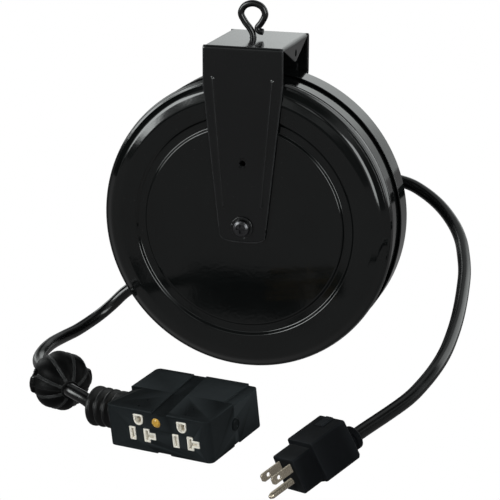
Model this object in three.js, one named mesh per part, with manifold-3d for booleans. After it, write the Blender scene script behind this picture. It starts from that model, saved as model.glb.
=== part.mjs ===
// Hanging extension cord reel: steel case on a U bracket, spring drum with slip rings and ratchet,
// output cord with a ball stop and a quad outlet box, and a lead cord with a grounded plug.
// Millimetres, +Z up, -Y is the front face. The pieces are laid out round the drum's axle; at the end the
// whole reel is lowered, so that the part's origin is on the upper face of the bracket, where the reel hangs.
import * as THREE from "three";
import { mergeVertices } from "three/addons/utils/BufferGeometryUtils.js";
import Module from "manifold-3d";

const wasm = await Module();
wasm.setup();

// ---- Driving dimensions ----
const GAP = 0.3; // clearance between neighbouring pieces
const CASE_R = 122; // case radius over the bead
const CASE_SEG = 32; // facets round the case
const FRONT_Y = -37;
const REAR_Y = 37;
const SEAM_Y = 4; // where the front shell's skirt enters the rear shell
const SHEET = 1.3; // case sheet
const CORD_R = 5.1; // jacket radius of the 3-conductor cord
const MOUTH_DEG = 213; // direction of the cord outlet in the XZ plane
const MOUTH_Y = -9;
const DRUM_R = 104; // flange radius
const HUB_R = 50;
const WOUND_R = 98.9; // outside of the wound cord
const TEETH = 20;
const TOOTH_ROOT = 72;
const TOOTH_TIP = 78;
const AXLE_R = 6;
const BRACKET = { half: 32.8, foot: 19.2, top: 147.3, front: -39.5, rear: 39.9, sheet: 2 };
const EYE = { x: -4, y: 3, wire: 2.7, loop: 10.1, top: 175.3 };
const BALL = { at: [-106.6, -169.6, -97], axis: [0.645, -0.765, 0], r: 22.3, bore: 5.8 };
const BOX = { w: 91, d: 69, h: 33.3, wall: 2.5, seam: 34.5 };
const BOX_AT = { corner: [-46, -223, -122], yaw: -15.5, pitch: 5.3, roll: -4.2 };
const OUTLETS = [29.05, 67.4]; // receptacle centres along the box
const BLADE_Z = 13.7; // blade slots above the box floor
const GROUND_Z = 25.6;
const BLADE_GAP = 12.7; // between the two blades
const PLUG_AT = {
  nose: [103, -271, -102],
  x: [0.776, -0.605, 0.177],
  y: [0.532, 0.78, 0.329],
  z: [-0.337, -0.161, 0.928],
};
const LEAD_BEND = [162.7, 14, 2.4]; // flexing point of the lead cord behind the case
const PLUG_BEND = [156.1, -199, -86.2]; // flexing point next to the plug
const BOX_BEND = [-80, -190.5, -100.5]; // flexing point between ball stop and outlet box

// ---- Materials ----
const finish = (color, roughness, metalness) => ({ color, roughness, metalness });
const ENAMEL = finish(0x17191c, 0.16, 0.35);
const STEEL = finish(0xa9adb1, 0.35, 0.9);
const BLACK_STEEL = finish(0x1c1e20, 0.4, 0.6);
const BRASS = finish(0xb9935a, 0.35, 0.9);
const COPPER = finish(0xb5714a, 0.35, 0.9);
const CARBON = finish(0x2b2b2d, 0.8, 0.1);
const CORD = finish(0x111417, 0.42, 0);
const RUBBER = finish(0x15171a, 0.55, 0);
const BOX_PLASTIC = finish(0x23282c, 0.5, 0);
const NYLON = finish(0x202326, 0.5, 0);
const INSULATOR = finish(0x3a2a20, 0.6, 0);
const IVORY = finish(0xece5d8, 0.45, 0);
const AMBER = finish(0xc9962f, 0.25, 0);
const BLADE_METAL = finish(0xcabfae, 0.3, 0.85);

// ---- Solids ----
function solid(geometry) {
  const bare = geometry.clone();
  for (const name of Object.keys(bare.attributes)) {
    if (name !== "position") bare.deleteAttribute(name);
  }
  const merged = mergeVertices(bare, 1e-4);
  const index = merged.index.array;
  const faces = [];
  for (let i = 0; i < index.length; i += 3) {
    const [a, b, c] = [index[i], index[i + 1], index[i + 2]];
    if (a !== b && b !== c && c !== a) faces.push([a, b, c]);
  }
  const build = (list) =>
    new wasm.Manifold(
      new wasm.Mesh({
        numProp: 3,
        vertProperties: merged.attributes.position.array,
        triVerts: new Uint32Array(list.flat()),
      }),
    );
  const made = build(faces);
  return made.volume() >= 0 ? made : build(faces.map(([a, b, c]) => [a, c, b]));
}

function surface(manifold) {
  const mesh = manifold.getMesh();
  const geometry = new THREE.BufferGeometry();
  geometry.setAttribute("position", new THREE.BufferAttribute(new Float32Array(mesh.vertProperties), 3));
  geometry.setIndex(new THREE.BufferAttribute(new Uint32Array(mesh.triVerts), 1));
  return geometry;
}

const join = (...parts) => surface(parts.map(solid).reduce((a, b) => a.add(b)));
const cut = (body, ...tools) => surface(tools.map(solid).reduce((a, b) => a.subtract(b), solid(body)));
const common = (a, b) => surface(solid(a).intersect(solid(b)));

const vec = (p) => new THREE.Vector3(...p);
const rad = THREE.MathUtils.degToRad;
const move = (g, x, y, z) => g.clone().translate(x, y, z);

// Ring or disc of revolution about Y from a closed list of [radius, y].
function turned(profile, segments = 24) {
  const points = [...profile, profile[0]].map(([r, y]) => new THREE.Vector2(r, y));
  return new THREE.LatheGeometry(points, segments);
}

const ring = (r0, r1, y0, y1, n = 24) => turned([[r0, y0], [r1, y0], [r1, y1], [r0, y1]], n);

function disc(r, y0, y1, n = 24) {
  return new THREE.CylinderGeometry(r, r, y1 - y0, n).translate(0, (y0 + y1) / 2, 0);
}

function block(x0, x1, y0, y1, z0, z1) {
  const g = new THREE.BoxGeometry(x1 - x0, y1 - y0, z1 - z0);
  return g.translate((x0 + x1) / 2, (y0 + y1) / 2, (z0 + z1) / 2);
}

function extruded(shape, depth) {
  return new THREE.ExtrudeGeometry(shape, { depth, bevelEnabled: false, curveSegments: 8 });
}

// Flat plate whose outline is a list of [x, z], from y0 to y1.
function plateXZ(outline, y0, y1) {
  const shape = new THREE.Shape(outline.map(([x, z]) => new THREE.Vector2(x, z)));
  return extruded(shape, y1 - y0).rotateX(Math.PI / 2).translate(0, y1, 0);
}

// Flat plate whose outline is a list of [y, z], from x0 to x1.
function plateYZ(outline, x0, x1) {
  const shape = new THREE.Shape(outline.map(([y, z]) => new THREE.Vector2(y, z)));
  const turn = new THREE.Matrix4().makeBasis(vec([0, 1, 0]), vec([0, 0, 1]), vec([1, 0, 0]));
  return extruded(shape, x1 - x0).applyMatrix4(turn).translate(x0, 0, 0);
}

// A shape built along +Y, laid along a direction from a point.
function along(g, from, direction) {
  const turn = new THREE.Quaternion().setFromUnitVectors(vec([0, 1, 0]), vec(direction).normalize());
  return g.clone().applyQuaternion(turn).translate(...from);
}

const alongX = (g, x, y, z) => g.clone().rotateZ(-Math.PI / 2).translate(x, y, z);
const alongZ = (g, x, y, z) => g.clone().rotateX(Math.PI / 2).translate(x, y, z);

function circleShape(r, n) {
  const points = Array.from({ length: n }, (_, i) => {
    const a = (2 * Math.PI * i) / n;
    return new THREE.Vector2(r * Math.cos(a), r * Math.sin(a));
  });
  return new THREE.Shape(points);
}

// Round bar along a smooth curve through the points.
function bar(points, r, steps, n = 7) {
  const path = new THREE.CatmullRomCurve3(points.map(vec), false, "centripetal");
  return new THREE.ExtrudeGeometry(circleShape(r, n), { steps, extrudePath: path, bevelEnabled: false });
}

const sphere = (p, r, n = 12) => new THREE.SphereGeometry(r, n, n / 2 + 2).translate(...p);
const withBall = (g, p) => join(g, sphere(p, CORD_R, 8));
const withCup = (g, p) => cut(g, sphere(p, CORD_R + GAP, 12));

// ---- Assembly ----
const reel = new THREE.Group();
reel.name = "laid_out_round_axle";

function piece(name, geometry, look, parent = reel) {
  const shown = surface(solid(geometry)).toNonIndexed();
  shown.computeVertexNormals();
  const mesh = new THREE.Mesh(shown, new THREE.MeshStandardMaterial(look));
  mesh.name = name;
  parent.add(mesh);
}

// ---- Case shells and cord outlet ----
const mouth = rad(MOUTH_DEG);
const OUT = [Math.cos(mouth), 0, Math.sin(mouth)];
const onMouth = (r) => [OUT[0] * r, MOUTH_Y, OUT[2] * r];

function frontShell() {
  const profile = [
    [4.4, FRONT_Y], [82.5, FRONT_Y], [84, FRONT_Y + 2.2], [90.5, FRONT_Y + 2.2], [92.5, FRONT_Y],
    [106, FRONT_Y], [114, FRONT_Y + 2], [118.6, FRONT_Y + 6.1], [120.8, FRONT_Y + 6.6],
    [CASE_R, -26.4], [120.8, -22], [117.2, -19.6], [117.2, -17.2], [119.6, -15.6],
    [119.6, 10], [119.6 - SHEET, 10], [119.6 - SHEET, -15], [115.9, -17.2], [115.9, -20],
    [119.2, -23.2], [119.4, -28.4], [117.3, -30], [113, -33.8], [105.8, FRONT_Y + SHEET],
    [93.2, FRONT_Y + SHEET], [91.2, FRONT_Y + 3.5], [83.4, FRONT_Y + 3.5],
    [81.6, FRONT_Y + SHEET], [4.4, FRONT_Y + SHEET],
  ];
  return cut(turned(profile, CASE_SEG), along(disc(8.7, 0, 20, 12), onMouth(108), OUT));
}

function rearShell() {
  const profile = [
    [8.4, REAR_Y], [102, REAR_Y], [112, REAR_Y - 1.8], [118.5, REAR_Y - 5.6], [121.6, REAR_Y - 11],
    [121.8, SEAM_Y + GAP], [120.4, SEAM_Y + GAP], [120.2, REAR_Y - 11.4], [117.4, REAR_Y - 6.6],
    [111.5, REAR_Y - 3.1], [101.8, REAR_Y - SHEET], [8.4, REAR_Y - SHEET],
  ];
  return turned(profile, CASE_SEG);
}

piece("front_shell", frontShell(), ENAMEL);
piece("rear_shell", rearShell(), ENAMEL);

const guideProfile = [[6.7, 112], [8.2, 112], [8.2, 120.2], [10, 120.2], [10, 122], [9, 122.8], [7.4, 122.8], [6.3, 121]];
piece("cord_guide", along(turned(guideProfile, 12), [0, MOUTH_Y, 0], OUT), NYLON);

// ---- Axle, fixed to the case ----
function axle() {
  const body = turned([[0, -39.6], [4, -39.6], [4, -35.4], [AXLE_R, -35.4], [AXLE_R, 25], [9.2, 25],
    [9.2, 35.3], [8, 35.3], [8, 46], [5.5, 46], [5.5, 27], [0, 27]], 16);
  const screwBore = disc(2.9, -41, -20, 8);
  const wireHole = alongX(disc(2.5, 0, 12, 8), 0, 31, 0);
  return cut(body, screwBore, wireHole);
}

piece("axle", axle(), STEEL);
piece("front_washer", ring(2.9, 9.2, -41.2, -39.9, 14), STEEL);
piece("front_axle_screw", join(disc(2.6, -41.8, -23, 8), crossHead()), STEEL);

// Pan head with a cross recess, facing -Y.
function crossHead() {
  const head = turned([[0, -45], [4.6, -44.8], [6.6, -43.6], [7.2, -41.5], [0, -41.5]], 14);
  const wide = block(-3.4, 3.4, -46, -43.4, -0.6, 0.6);
  const tall = block(-0.6, 0.6, -46, -43.4, -3.4, 3.4);
  return cut(head, wide, tall);
}

// Hexagonal nut on the hollow rear end of the axle; it holds the bracket's rear leg.
piece("rear_axle_nut", ringOfSides(6, 13.2, 8.3, 40.2, 44.6), STEEL);

function ringOfSides(sides, r, bore, y0, y1) {
  return cut(disc(r, y0, y1, sides), disc(bore, y0 - 1, y1 + 1, 16));
}

// ---- Lead cord: strain relief at the hollow axle, then the cord to its first bend ----
const LEAD_OUT = [0.962, -0.06, 0.265];
const LEAD_ROOT = [0, 54.5, 0];

function leadStrainRelief() {
  const cap = turned([[0, 44.9], [11.4, 44.9], [11.4, 60.4], [9.4, 62.4], [0, 62.4]], 16);
  const spout = along(turned([[0, 0], [9, 0], [9, 15], [7.4, 16.5], [8.4, 18], [8.4, 20.5], [7, 22],
    [7.6, 26.5], [0, 26.5]], 12), LEAD_ROOT, LEAD_OUT);
  const cordBore = along(disc(CORD_R + 0.5, 12, 30, 12), LEAD_ROOT, LEAD_OUT);
  const axleBore = disc(8.3, 44, 46.4, 16);
  return cut(join(cap, spout), cordBore, axleBore);
}

const leadPoint = (t) => LEAD_ROOT.map((c, i) => c + LEAD_OUT[i] * t);
piece("lead_strain_relief", leadStrainRelief(), RUBBER);
const leadRoot = bar([leadPoint(12.6), leadPoint(24), leadPoint(36), [60, 51, 18.6], [90, 49.5, 27], [117.6, 46, 24.8],
  [132.3, 41, 19.6], [147.9, 31, 11.9], LEAD_BEND], CORD_R, 14);
piece("lead_cord_root", withCup(leadRoot, LEAD_BEND), CORD);

// ---- Brush gear inside the rear shell ----
const RING_RADII = { ground: 20, neutral: 28, line: 36 };

function brushHolder() {
  const pockets = Object.values(RING_RADII).map((r) => block(r - 2.3, r + 2.3, 17, 26, -2.3, 2.3));
  return cut(block(14, 42, 18, 35.3, -7, 7), ...pockets);
}

piece("brush_holder", brushHolder(), INSULATOR);
for (const [name, r] of Object.entries(RING_RADII)) {
  piece("brush_" + name, block(r - 2, r + 2, 14.7, 25.6, -2, 2), CARBON);
}

// ---- Drum ----
const HUB_FRONT = -27;
const HUB_REAR = 8.5;
piece("drum_hub", turned([[9.4, HUB_FRONT], [HUB_R, HUB_FRONT], [HUB_R, HUB_REAR], [HUB_R - 2.5, HUB_REAR],
  [HUB_R - 2.5, -24.5], [9.4, -24.5]], 28), NYLON);
piece("front_flange", ring(HUB_R + GAP, DRUM_R, HUB_FRONT, HUB_FRONT + 2, 28), STEEL);
piece("rear_flange", ring(HUB_R + GAP, DRUM_R, HUB_REAR - 2, HUB_REAR, 28), STEEL);
piece("front_bushing", turned([[AXLE_R + GAP, -35], [11, -35], [11, -33.2], [9.1, -33.2], [9.1, -21],
  [AXLE_R + GAP, -21]], 16), BRASS);
piece("rear_bushing", ring(AXLE_R + GAP, 9.1, 3.7, 15, 16), BRASS);
piece("spring_cover", ring(9.4, HUB_R - 3.1, 4.4, 6.2, 20), STEEL);
piece("slip_ring_disc", ring(9.4, 49, HUB_REAR + GAP, 11.3, 20), INSULATOR);
for (const [name, r] of Object.entries(RING_RADII)) {
  piece("slip_ring_" + name, ring(r - 2, r + 2, 11.6, 14.4, 16), COPPER);
}

// Cord wound three turns wide; the outside shows its round turns.
const TURN = 10.2;
const woundFrom = HUB_FRONT + 2.4;

function woundCord() {
  const outside = [0, 1, 2].flatMap((i) => [
    [WOUND_R - 4.6, woundFrom + i * TURN], [WOUND_R, woundFrom + (i + 0.5) * TURN],
  ]);
  const end = woundFrom + 3 * TURN;
  return turned([[HUB_R + GAP, woundFrom], ...outside, [WOUND_R - 4.6, end], [HUB_R + GAP, end]], 28);
}

piece("wound_cord", woundCord(), CORD);

// Flat spiral spring between axle and hub wall.
function mainSpring() {
  const [turns, perTurn, inner, outer, strip] = [3.5, 12, 8, 44, 1];
  const count = Math.round(turns * perTurn);
  const edge = (offset) =>
    Array.from({ length: count + 1 }, (_, i) => {
      const a = (2 * Math.PI * i) / perTurn;
      const r = inner + ((outer - inner) * i) / count + offset;
      return [r * Math.cos(a), r * Math.sin(a)];
    });
  return plateXZ([...edge(0), ...edge(strip).reverse()], -20, 2);
}

piece("main_spring", mainSpring(), BLACK_STEEL);

// Ratchet: each tooth has a radial locking face and a ramp behind it.
const PITCH = 360 / TEETH;
const LOCK_DEG = -36.9; // angle of one locking face

function ratchetRing() {
  const outline = [];
  for (let i = 0; i < TEETH; i += 1) {
    const a = rad(LOCK_DEG + i * PITCH);
    outline.push([TOOTH_ROOT * Math.cos(a), TOOTH_ROOT * Math.sin(a)]);
    outline.push([TOOTH_TIP * Math.cos(a), TOOTH_TIP * Math.sin(a)]);
  }
  return cut(plateXZ(outline, 9, 13), disc(62, 8, 14, 20));
}

piece("ratchet_ring", ratchetRing(), STEEL);

// ---- Pawl, drawn engaged and then swung clear by PAWL_OPEN about its pin ----
const PAWL_PIN = [45, -77.94];
const PAWL_LINE = 68.83; // direction from pin to tip when engaged
const PAWL_OPEN = 12;

function pawl() {
  const outline = [[34.9, -0.5], [33.8, 3], [28, 4.5], [8, 5], [0, 5], [-3.6, 3.6], [-5, 0],
    [-3.6, -3.6], [0, -5], [8, -4], [18, -1.8], [30, -0.9]];
  const a = rad(PAWL_LINE - PAWL_OPEN);
  const placed = outline.map(([u, v]) => [
    PAWL_PIN[0] + u * Math.cos(a) + v * Math.sin(a),
    PAWL_PIN[1] + u * Math.sin(a) - v * Math.cos(a),
  ]);
  return cut(plateXZ(placed, 9.8, 12.8), move(disc(2.8, 8, 14, 12), PAWL_PIN[0], 0, PAWL_PIN[1]));
}

piece("pawl", pawl(), BLACK_STEEL);
const pinProfile = [[0, 9], [2.5, 9], [2.5, 13.4], [3.2, 13.4], [3.2, 20], [6, 20], [6, 33.3], [0, 33.3]];
piece("pawl_pin", move(turned(pinProfile, 10), PAWL_PIN[0], 0, PAWL_PIN[1]), STEEL);

function pawlSpring() {
  const points = Array.from({ length: 25 }, (_, i) => {
    const a = (2 * Math.PI * i) / 8;
    return [PAWL_PIN[0] + 4.5 * Math.cos(a), 14.2 + i * 0.2, PAWL_PIN[1] + 4.5 * Math.sin(a)];
  });
  return bar(points, 0.5, 24, 4);
}

piece("pawl_spring", pawlSpring(), STEEL);

// ---- Bracket ----
function bracketLeg(y0, y1) {
  const { half, foot, top } = BRACKET;
  const outline = [[-half, top], [-half, 116], [-foot - 0.4, -3], [-foot + 1.6, -8.6], [-foot + 7, -11.6],
    [0, -12.6], [foot - 7, -11.6], [foot - 1.6, -8.6], [foot + 0.4, -3], [half, 116], [half, top]];
  return plateXZ(outline, y0, y1);
}

// Raised stiffening rib running down a leg on one side.
function legRib(side, y0, y1) {
  const [from, to] = [[24.7 * side, 121], [15.9 * side, 18]];
  const tilt = Math.atan2(from[0] - to[0], from[1] - to[1]);
  const length = Math.hypot(from[0] - to[0], from[1] - to[1]);
  const shape = [];
  for (const [sign, y] of [[1, length / 2], [-1, -length / 2]]) {
    for (let i = 0; i <= 3; i += 1) {
      const a = (Math.PI * i) / 3 + (sign > 0 ? 0 : Math.PI);
      shape.push([2 * Math.cos(a), y + 2 * Math.sin(a)]);
    }
  }
  const turnedShape = shape.map(([x, z]) => [
    (from[0] + to[0]) / 2 + x * Math.cos(tilt) + z * Math.sin(tilt),
    (from[1] + to[1]) / 2 - x * Math.sin(tilt) + z * Math.cos(tilt),
  ]);
  return plateXZ(turnedShape, y0, y1);
}

function sideFlap(side) {
  const x = BRACKET.half * side;
  const outline = [[-36.8, 146.2], [36.8, 146.2], [1.6, 131], [-1.6, 131]];
  const flap = plateYZ(outline, Math.min(x, x - 2 * side), Math.max(x, x - 2 * side));
  return cut(flap, alongX(disc(3, -3, 3, 10), x, 0, 137.5));
}

function bracket() {
  const { half, top, front, rear, sheet } = BRACKET;
  const plate = block(-half, half, front, rear, top - sheet, top);
  const body = join(
    plate, bracketLeg(front, front + sheet), bracketLeg(rear - sheet, rear), sideFlap(1), sideFlap(-1),
    legRib(1, front - 0.9, front + 0.5), legRib(-1, front - 0.9, front + 0.5),
    legRib(1, rear - 0.5, rear + 0.9), legRib(-1, rear - 0.5, rear + 0.9),
  );
  return cut(
    body, disc(4.3, front - 2, front + 5, 16), disc(8.3, rear - 5, rear + 3, 16),
    move(disc(2.75, -60, 60, 10), 0, 0, 53), alongZ(disc(3.1, -8, 8, 12), EYE.x, EYE.y, top),
  );
}

piece("bracket", bracket(), ENAMEL);

// ---- Hanging eye: wire bent into a teardrop, its shank through the top plate ----
function hangingEye() {
  const { x, y, wire, loop, top } = EYE;
  const left = bar([[x, y, 134], [x, y, 142], [x, y, 149.7], [x - 2.2, y, 154.4], [x - 7, y, 160.4],
    [x - loop, y, 167], [x - 7.2, y, 172.8], [x, y, top]], wire, 14);
  const right = bar([[x, y, top], [x + 7.2, y, 172.8], [x + loop, y, 167], [x + 7, y, 160],
    [x + 3.9, y, 155.6], [x + 5.2, y, 153.2], [x + 8.2, y, 152.5]], wire, 11);
  return join(left, right);
}

piece("hanging_eye", hangingEye(), BLACK_STEEL);
piece("eye_washer", alongZ(ring(3.1, 8.4, 0, 1.5, 14), EYE.x, EYE.y, 143.4), STEEL);
piece("eye_nut", alongZ(ringOfSides(6, 5.8, 3.1, 0, 5), EYE.x, EYE.y, 137), STEEL);

// ---- Output cord, from the guide through the ball stop to its flexing point ----
const ballPoint = (t) => BALL.at.map((c, i) => c + BALL.axis[i] * t);
const cordOut = bar([onMouth(106.7), onMouth(121), [-113.7, -9.5, -75.5], [-123.5, -13, -85.5],
  [-131.8, -20, -93.1], [-138.5, -31, -97.8], [-143.8, -45, -100.5], [-148.5, -60, -101.3],
  [-151.8, -78, -101.4], [-151.9, -95, -101.8], [-150, -110, -103.2], [-143.3, -125, -103],
  [-132.2, -139.8, -99.4], ballPoint(-22), ballPoint(-11), ballPoint(0), ballPoint(11), ballPoint(22),
  BOX_BEND], CORD_R, 34);
piece("output_cord", withCup(cordOut, BOX_BEND), CORD);

// ---- Ball stop: two halves clamped round the cord ----
// Local frame: +Y along the cord, +Z up, split at z = 0.
function ballBlank() {
  const g = new THREE.SphereGeometry(BALL.r, 32, 8);
  const p = g.attributes.position;
  for (let i = 0; i < p.count; i += 1) {
    const v = new THREE.Vector3().fromBufferAttribute(p, i);
    const around = THREE.MathUtils.radToDeg(Math.atan2(v.z, v.x)) + 22.5;
    const fromRidge = Math.abs(((((around + 22.5) % 45) + 45) % 45) - 22.5);
    v.multiplyScalar(fromRidge < 3 ? 1.06 : 1);
    p.setXYZ(i, v.x, v.y, v.z);
  }
  return g;
}

function ballHalf(side) {
  const x = 20.4;
  const lugs = [1, -1].map((s) => alongZ(disc(4.6, -6, 6, 10), s * x, 0, 0));
  const whole = join(ballBlank(), ...lugs);
  const bores = [1, -1].map((s) => alongZ(disc(1.9, -9, 9, 8), s * x, 0, 0));
  const heads = [1, -1].map((s) => alongZ(disc(3.8, 6, 12, 10), s * x, 0, 0));
  const keep = side > 0 ? block(-40, 40, -40, 40, 0.15, 40) : block(-40, 40, -40, 40, -40, -0.15);
  return cut(common(whole, keep), disc(BALL.bore, -40, 40, 12), ...bores, ...heads);
}

const ball = new THREE.Group();
const across = vec(BALL.axis).cross(vec([0, 0, 1])).normalize();
ball.applyMatrix4(new THREE.Matrix4().makeBasis(across, vec(BALL.axis).normalize(), vec([0, 0, 1])));
ball.position.set(...BALL.at);
reel.add(ball);
piece("ball_upper_half", ballHalf(1), RUBBER, ball);
piece("ball_lower_half", ballHalf(-1), RUBBER, ball);
for (const [i, s] of [1, -1].entries()) {
  const screw = turned([[0, -5.6], [1.6, -5.6], [1.6, 6.3], [3.4, 6.3], [3.4, 7.4], [2.4, 8.2], [0, 8.2]], 10);
  piece("ball_screw_" + (i + 1), move(screw.rotateX(Math.PI / 2), s * 20.4, 0, 0), STEEL, ball);
}

// ---- Outlet box, in its own frame: x to the right, y to the back, z up from the front left corner ----
const box = new THREE.Group();
box.position.set(...BOX_AT.corner);
box.rotation.set(rad(BOX_AT.pitch), rad(BOX_AT.roll), rad(BOX_AT.yaw), "YXZ");
box.updateMatrixWorld(true);
reel.add(box);
const toBox = (p) => vec(p).applyMatrix4(box.matrixWorld.clone().invert()).toArray();

const alongY = (g, x, y, z) => move(g, x, y, z);
const PORT = { y: 25, z: 16 }; // centre of the strain boot on the left end
const BUTTON = { y: BOX.seam, z: 16.6, r: 4.8 };
const LENS = { x: 44.5, z: 25, r: 3.2 };
const POSTS = [[11, 4.6], [85.4, 4.6]]; // screw posts, x and z

// D-shaped outline of the ground socket, flat side up.
function groundOutline(x, grow) {
  const r = 4.1 + grow;
  const arc = Array.from({ length: 5 }, (_, i) => {
    const a = Math.PI + (Math.PI * i) / 4;
    return [x + r * Math.cos(a), GROUND_Z - 0.4 + r * Math.sin(a)];
  });
  return [...arc, [x + r, GROUND_Z + 4.1 + grow], [x - r, GROUND_Z + 4.1 + grow]];
}

function bosses(x, y0, y1, grow) {
  const [l, n] = [x - BLADE_GAP / 2, x + BLADE_GAP / 2];
  const w = 2.65 + grow;
  const h = 5.3 + grow;
  return [
    block(l - w, l + w, y0, y1, BLADE_Z - h, BLADE_Z + h),
    join(block(n - w, n + w, y0, y1, BLADE_Z - h, BLADE_Z + h),
      block(n, n + 7.8 + grow, y0, y1, BLADE_Z - w, BLADE_Z + w)),
    plateXZ(groundOutline(x, grow), y0, y1),
  ];
}

function slots(x, y0, y1) {
  const [l, n] = [x - BLADE_GAP / 2, x + BLADE_GAP / 2];
  return [
    block(l - 1.1, l + 1.1, y0, y1, BLADE_Z - 3.9, BLADE_Z + 3.9),
    block(n - 1.1, n + 1.1, y0, y1, BLADE_Z - 3.9, BLADE_Z + 3.9),
    block(n, n + 6.2, y0, y1, BLADE_Z - 1.1, BLADE_Z + 1.1),
    plateXZ(groundOutline(x, -1.4), y0, y1),
  ];
}

// Receptacle for the front face; the back face uses the same piece turned round.
function receptacle(x) {
  const base = join(block(x - 12, x + 14.8, 2.9, 6, 7.6, 20.2), block(x - 8, x + 8, 2.9, 6, 19, 30.4));
  return cut(join(base, ...bosses(x, -0.4, 3.2, 0)), ...slots(x, -2, 8));
}

const turnRound = (g) => move(move(g, -BOX.w / 2, -BOX.d / 2, 0).rotateZ(Math.PI), BOX.w / 2, BOX.d / 2, 0);

function boxHalf(y0, y1, hollow0, hollow1) {
  const { w, h, wall } = BOX;
  const shell = cut(block(0, w, y0, y1, 0, h), block(wall, w - wall, hollow0, hollow1, wall, h - wall));
  const channel = block(39, 52, -1, BOX.d + 1, h - 1.1, h + 1);
  const under = block(39, 52, -1, BOX.d + 1, -1, 1.1);
  return cut(shell, channel, under, alongX(disc(BUTTON.r + 0.4, -6, 6, 12), w, BUTTON.y, BUTTON.z));
}

function boxFront() {
  const { wall, seam } = BOX;
  const half = boxHalf(0, seam - 0.2, wall, seam + 2);
  const posts = POSTS.map(([x, z]) => alongY(disc(2.7, wall - 0.5, seam - 0.2, 8), x, 0, z));
  const bores = POSTS.map(([x, z]) => alongY(disc(1.7, 18, seam + 1, 8), x, 0, z));
  const holes = OUTLETS.flatMap((x) => bosses(x, -1, wall + 0.2, 0.3));
  const lens = alongY(disc(LENS.r + GAP, -1, wall + 1, 12), LENS.x, 0, LENS.z);
  const port = alongX(disc(8.5, -2, wall + 1, 14), 0, PORT.y, PORT.z);
  return cut(join(half, ...posts), ...bores, ...holes, lens, port);
}

function boxRear() {
  const { wall, seam, d } = BOX;
  const half = boxHalf(seam + 0.2, d, seam - 2, d - wall);
  const posts = POSTS.map(([x, z]) => alongY(disc(2.7, seam + 0.2, d - wall + 0.5, 8), x, 0, z));
  const bores = POSTS.map(([x, z]) => alongY(disc(1.7, seam - 1, d - 1, 8), x, 0, z));
  const heads = POSTS.map(([x, z]) => alongY(disc(2.9, d - 1.8, d + 1, 10), x, 0, z));
  const holes = OUTLETS.flatMap((x) => bosses(x, -1, wall + 0.2, 0.3)).map(turnRound);
  return cut(join(half, ...posts), ...bores, ...heads, ...holes);
}

piece("box_front_shell", boxFront(), BOX_PLASTIC, box);
piece("box_rear_shell", boxRear(), BOX_PLASTIC, box);
for (const [i, x] of OUTLETS.entries()) {
  piece("receptacle_front_" + (i + 1), receptacle(x), IVORY, box);
  piece("receptacle_rear_" + (i + 1), turnRound(receptacle(x)), IVORY, box);
}
for (const [i, [x, z]] of POSTS.entries()) {
  const screw = turned([[0, 22], [1.3, 22], [1.3, 67.5], [2.5, 67.5], [2.5, 68.8], [0, 68.8]], 8);
  piece("box_screw_" + (i + 1), alongY(screw, x, 0, z), STEEL, box);
}

// Contact strips: one along the front row, one along the back row, and a bridge between them.
function busStrip(z0, z1, bridge) {
  return join(
    block(16, 79, 8, 9.2, z0, z1), block(12, 75, BOX.d - 9.2, BOX.d - 8, z0, z1),
    block(bridge, bridge + 1.2, 8, BOX.d - 8, z0, z1),
  );
}

piece("bus_line", busStrip(9.8, 12.6, 46), BRASS, box);
piece("bus_neutral", busStrip(14.8, 17.6, 46), BRASS, box);
piece("bus_ground", busStrip(23.6, 27.6, 50), BRASS, box);
const lensProfile = [[0, -1.2], [1.8, -1], [2.9, -0.4], [LENS.r, 0.4], [LENS.r, 6.4], [0, 6.4]];
piece("indicator_lens", alongY(turned(lensProfile, 12), LENS.x, 0, LENS.z), AMBER, box);
piece("circuit_breaker", block(58, 82, 24, 45, 8, 25), NYLON, box);
const buttonProfile = [[0, 84.2], [6.2, 84.2], [6.2, 85.6], [BUTTON.r, 85.6], [BUTTON.r, 91.6], [4, 92.2], [0, 92.2]];
piece("reset_button", alongX(turned(buttonProfile, 12), 0, BUTTON.y, BUTTON.z), NYLON, box);

// Ribbed strain boot, its neck held behind the left wall.
function strainBoot() {
  const profile = [[5.6, -30], [13.4, -30], [15.3, -28.4], [15.3, -24.6], [11.8, -23.4],
    [15.1, -20.8], [15.1, -17.8], [11.6, -16.4], [14.9, -14], [14.9, -11], [11.6, -9.4],
    [14.6, -7.2], [14.6, -0.3], [8, -0.3], [8, 2.9], [10.8, 2.9], [10.8, 6], [5.6, 6]];
  return alongX(turned(profile, 14), 0, PORT.y, PORT.z);
}

piece("strain_boot", strainBoot(), RUBBER, box);
const bend = toBox(BOX_BEND);
const boxCord = bar([bend, [-30, PORT.y, PORT.z], [-14, PORT.y, PORT.z], [10, PORT.y, PORT.z]], CORD_R, 8);
piece("box_cord", withBall(boxCord, bend), CORD, box);

// ---- Lead cord run to the plug ----
const leadRun = bar([LEAD_BEND, [172, -3, -5.6], [178, -21, -13.3], [182.5, -39, -20.9], [185, -57, -28.3],
  [186.7, -75, -35.6], [187.8, -94, -42.4], [187.7, -112, -49.3], [186.5, -130, -56.1],
  [183.2, -148, -62.8], [177.3, -164, -70.3], [164.9, -186, -80.8], PLUG_BEND], CORD_R, 20);
piece("lead_cord_run", withCup(withBall(leadRun, LEAD_BEND), PLUG_BEND), CORD);

// ---- Plug, in its own frame: origin between the blades on the nose face, y back along the cord ----
const plug = new THREE.Group();
plug.applyMatrix4(new THREE.Matrix4().makeBasis(vec(PLUG_AT.x), vec(PLUG_AT.y), vec(PLUG_AT.z)));
plug.quaternion.normalize();
plug.scale.set(1, 1, 1);
plug.position.set(...PLUG_AT.nose);
plug.updateMatrixWorld(true);
reel.add(plug);
const toPlug = (p) => vec(p).applyMatrix4(plug.matrixWorld.clone().invert()).toArray();
const BLADE = { wide: 6.35, thick: 1.5, long: 17.9, hole: 1.6, holeAt: -11.7 };
const PIN = { r: 2.4, long: 21.4, z: -11.9 };
const CORD_EXIT = [0, 60, -11];

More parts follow.
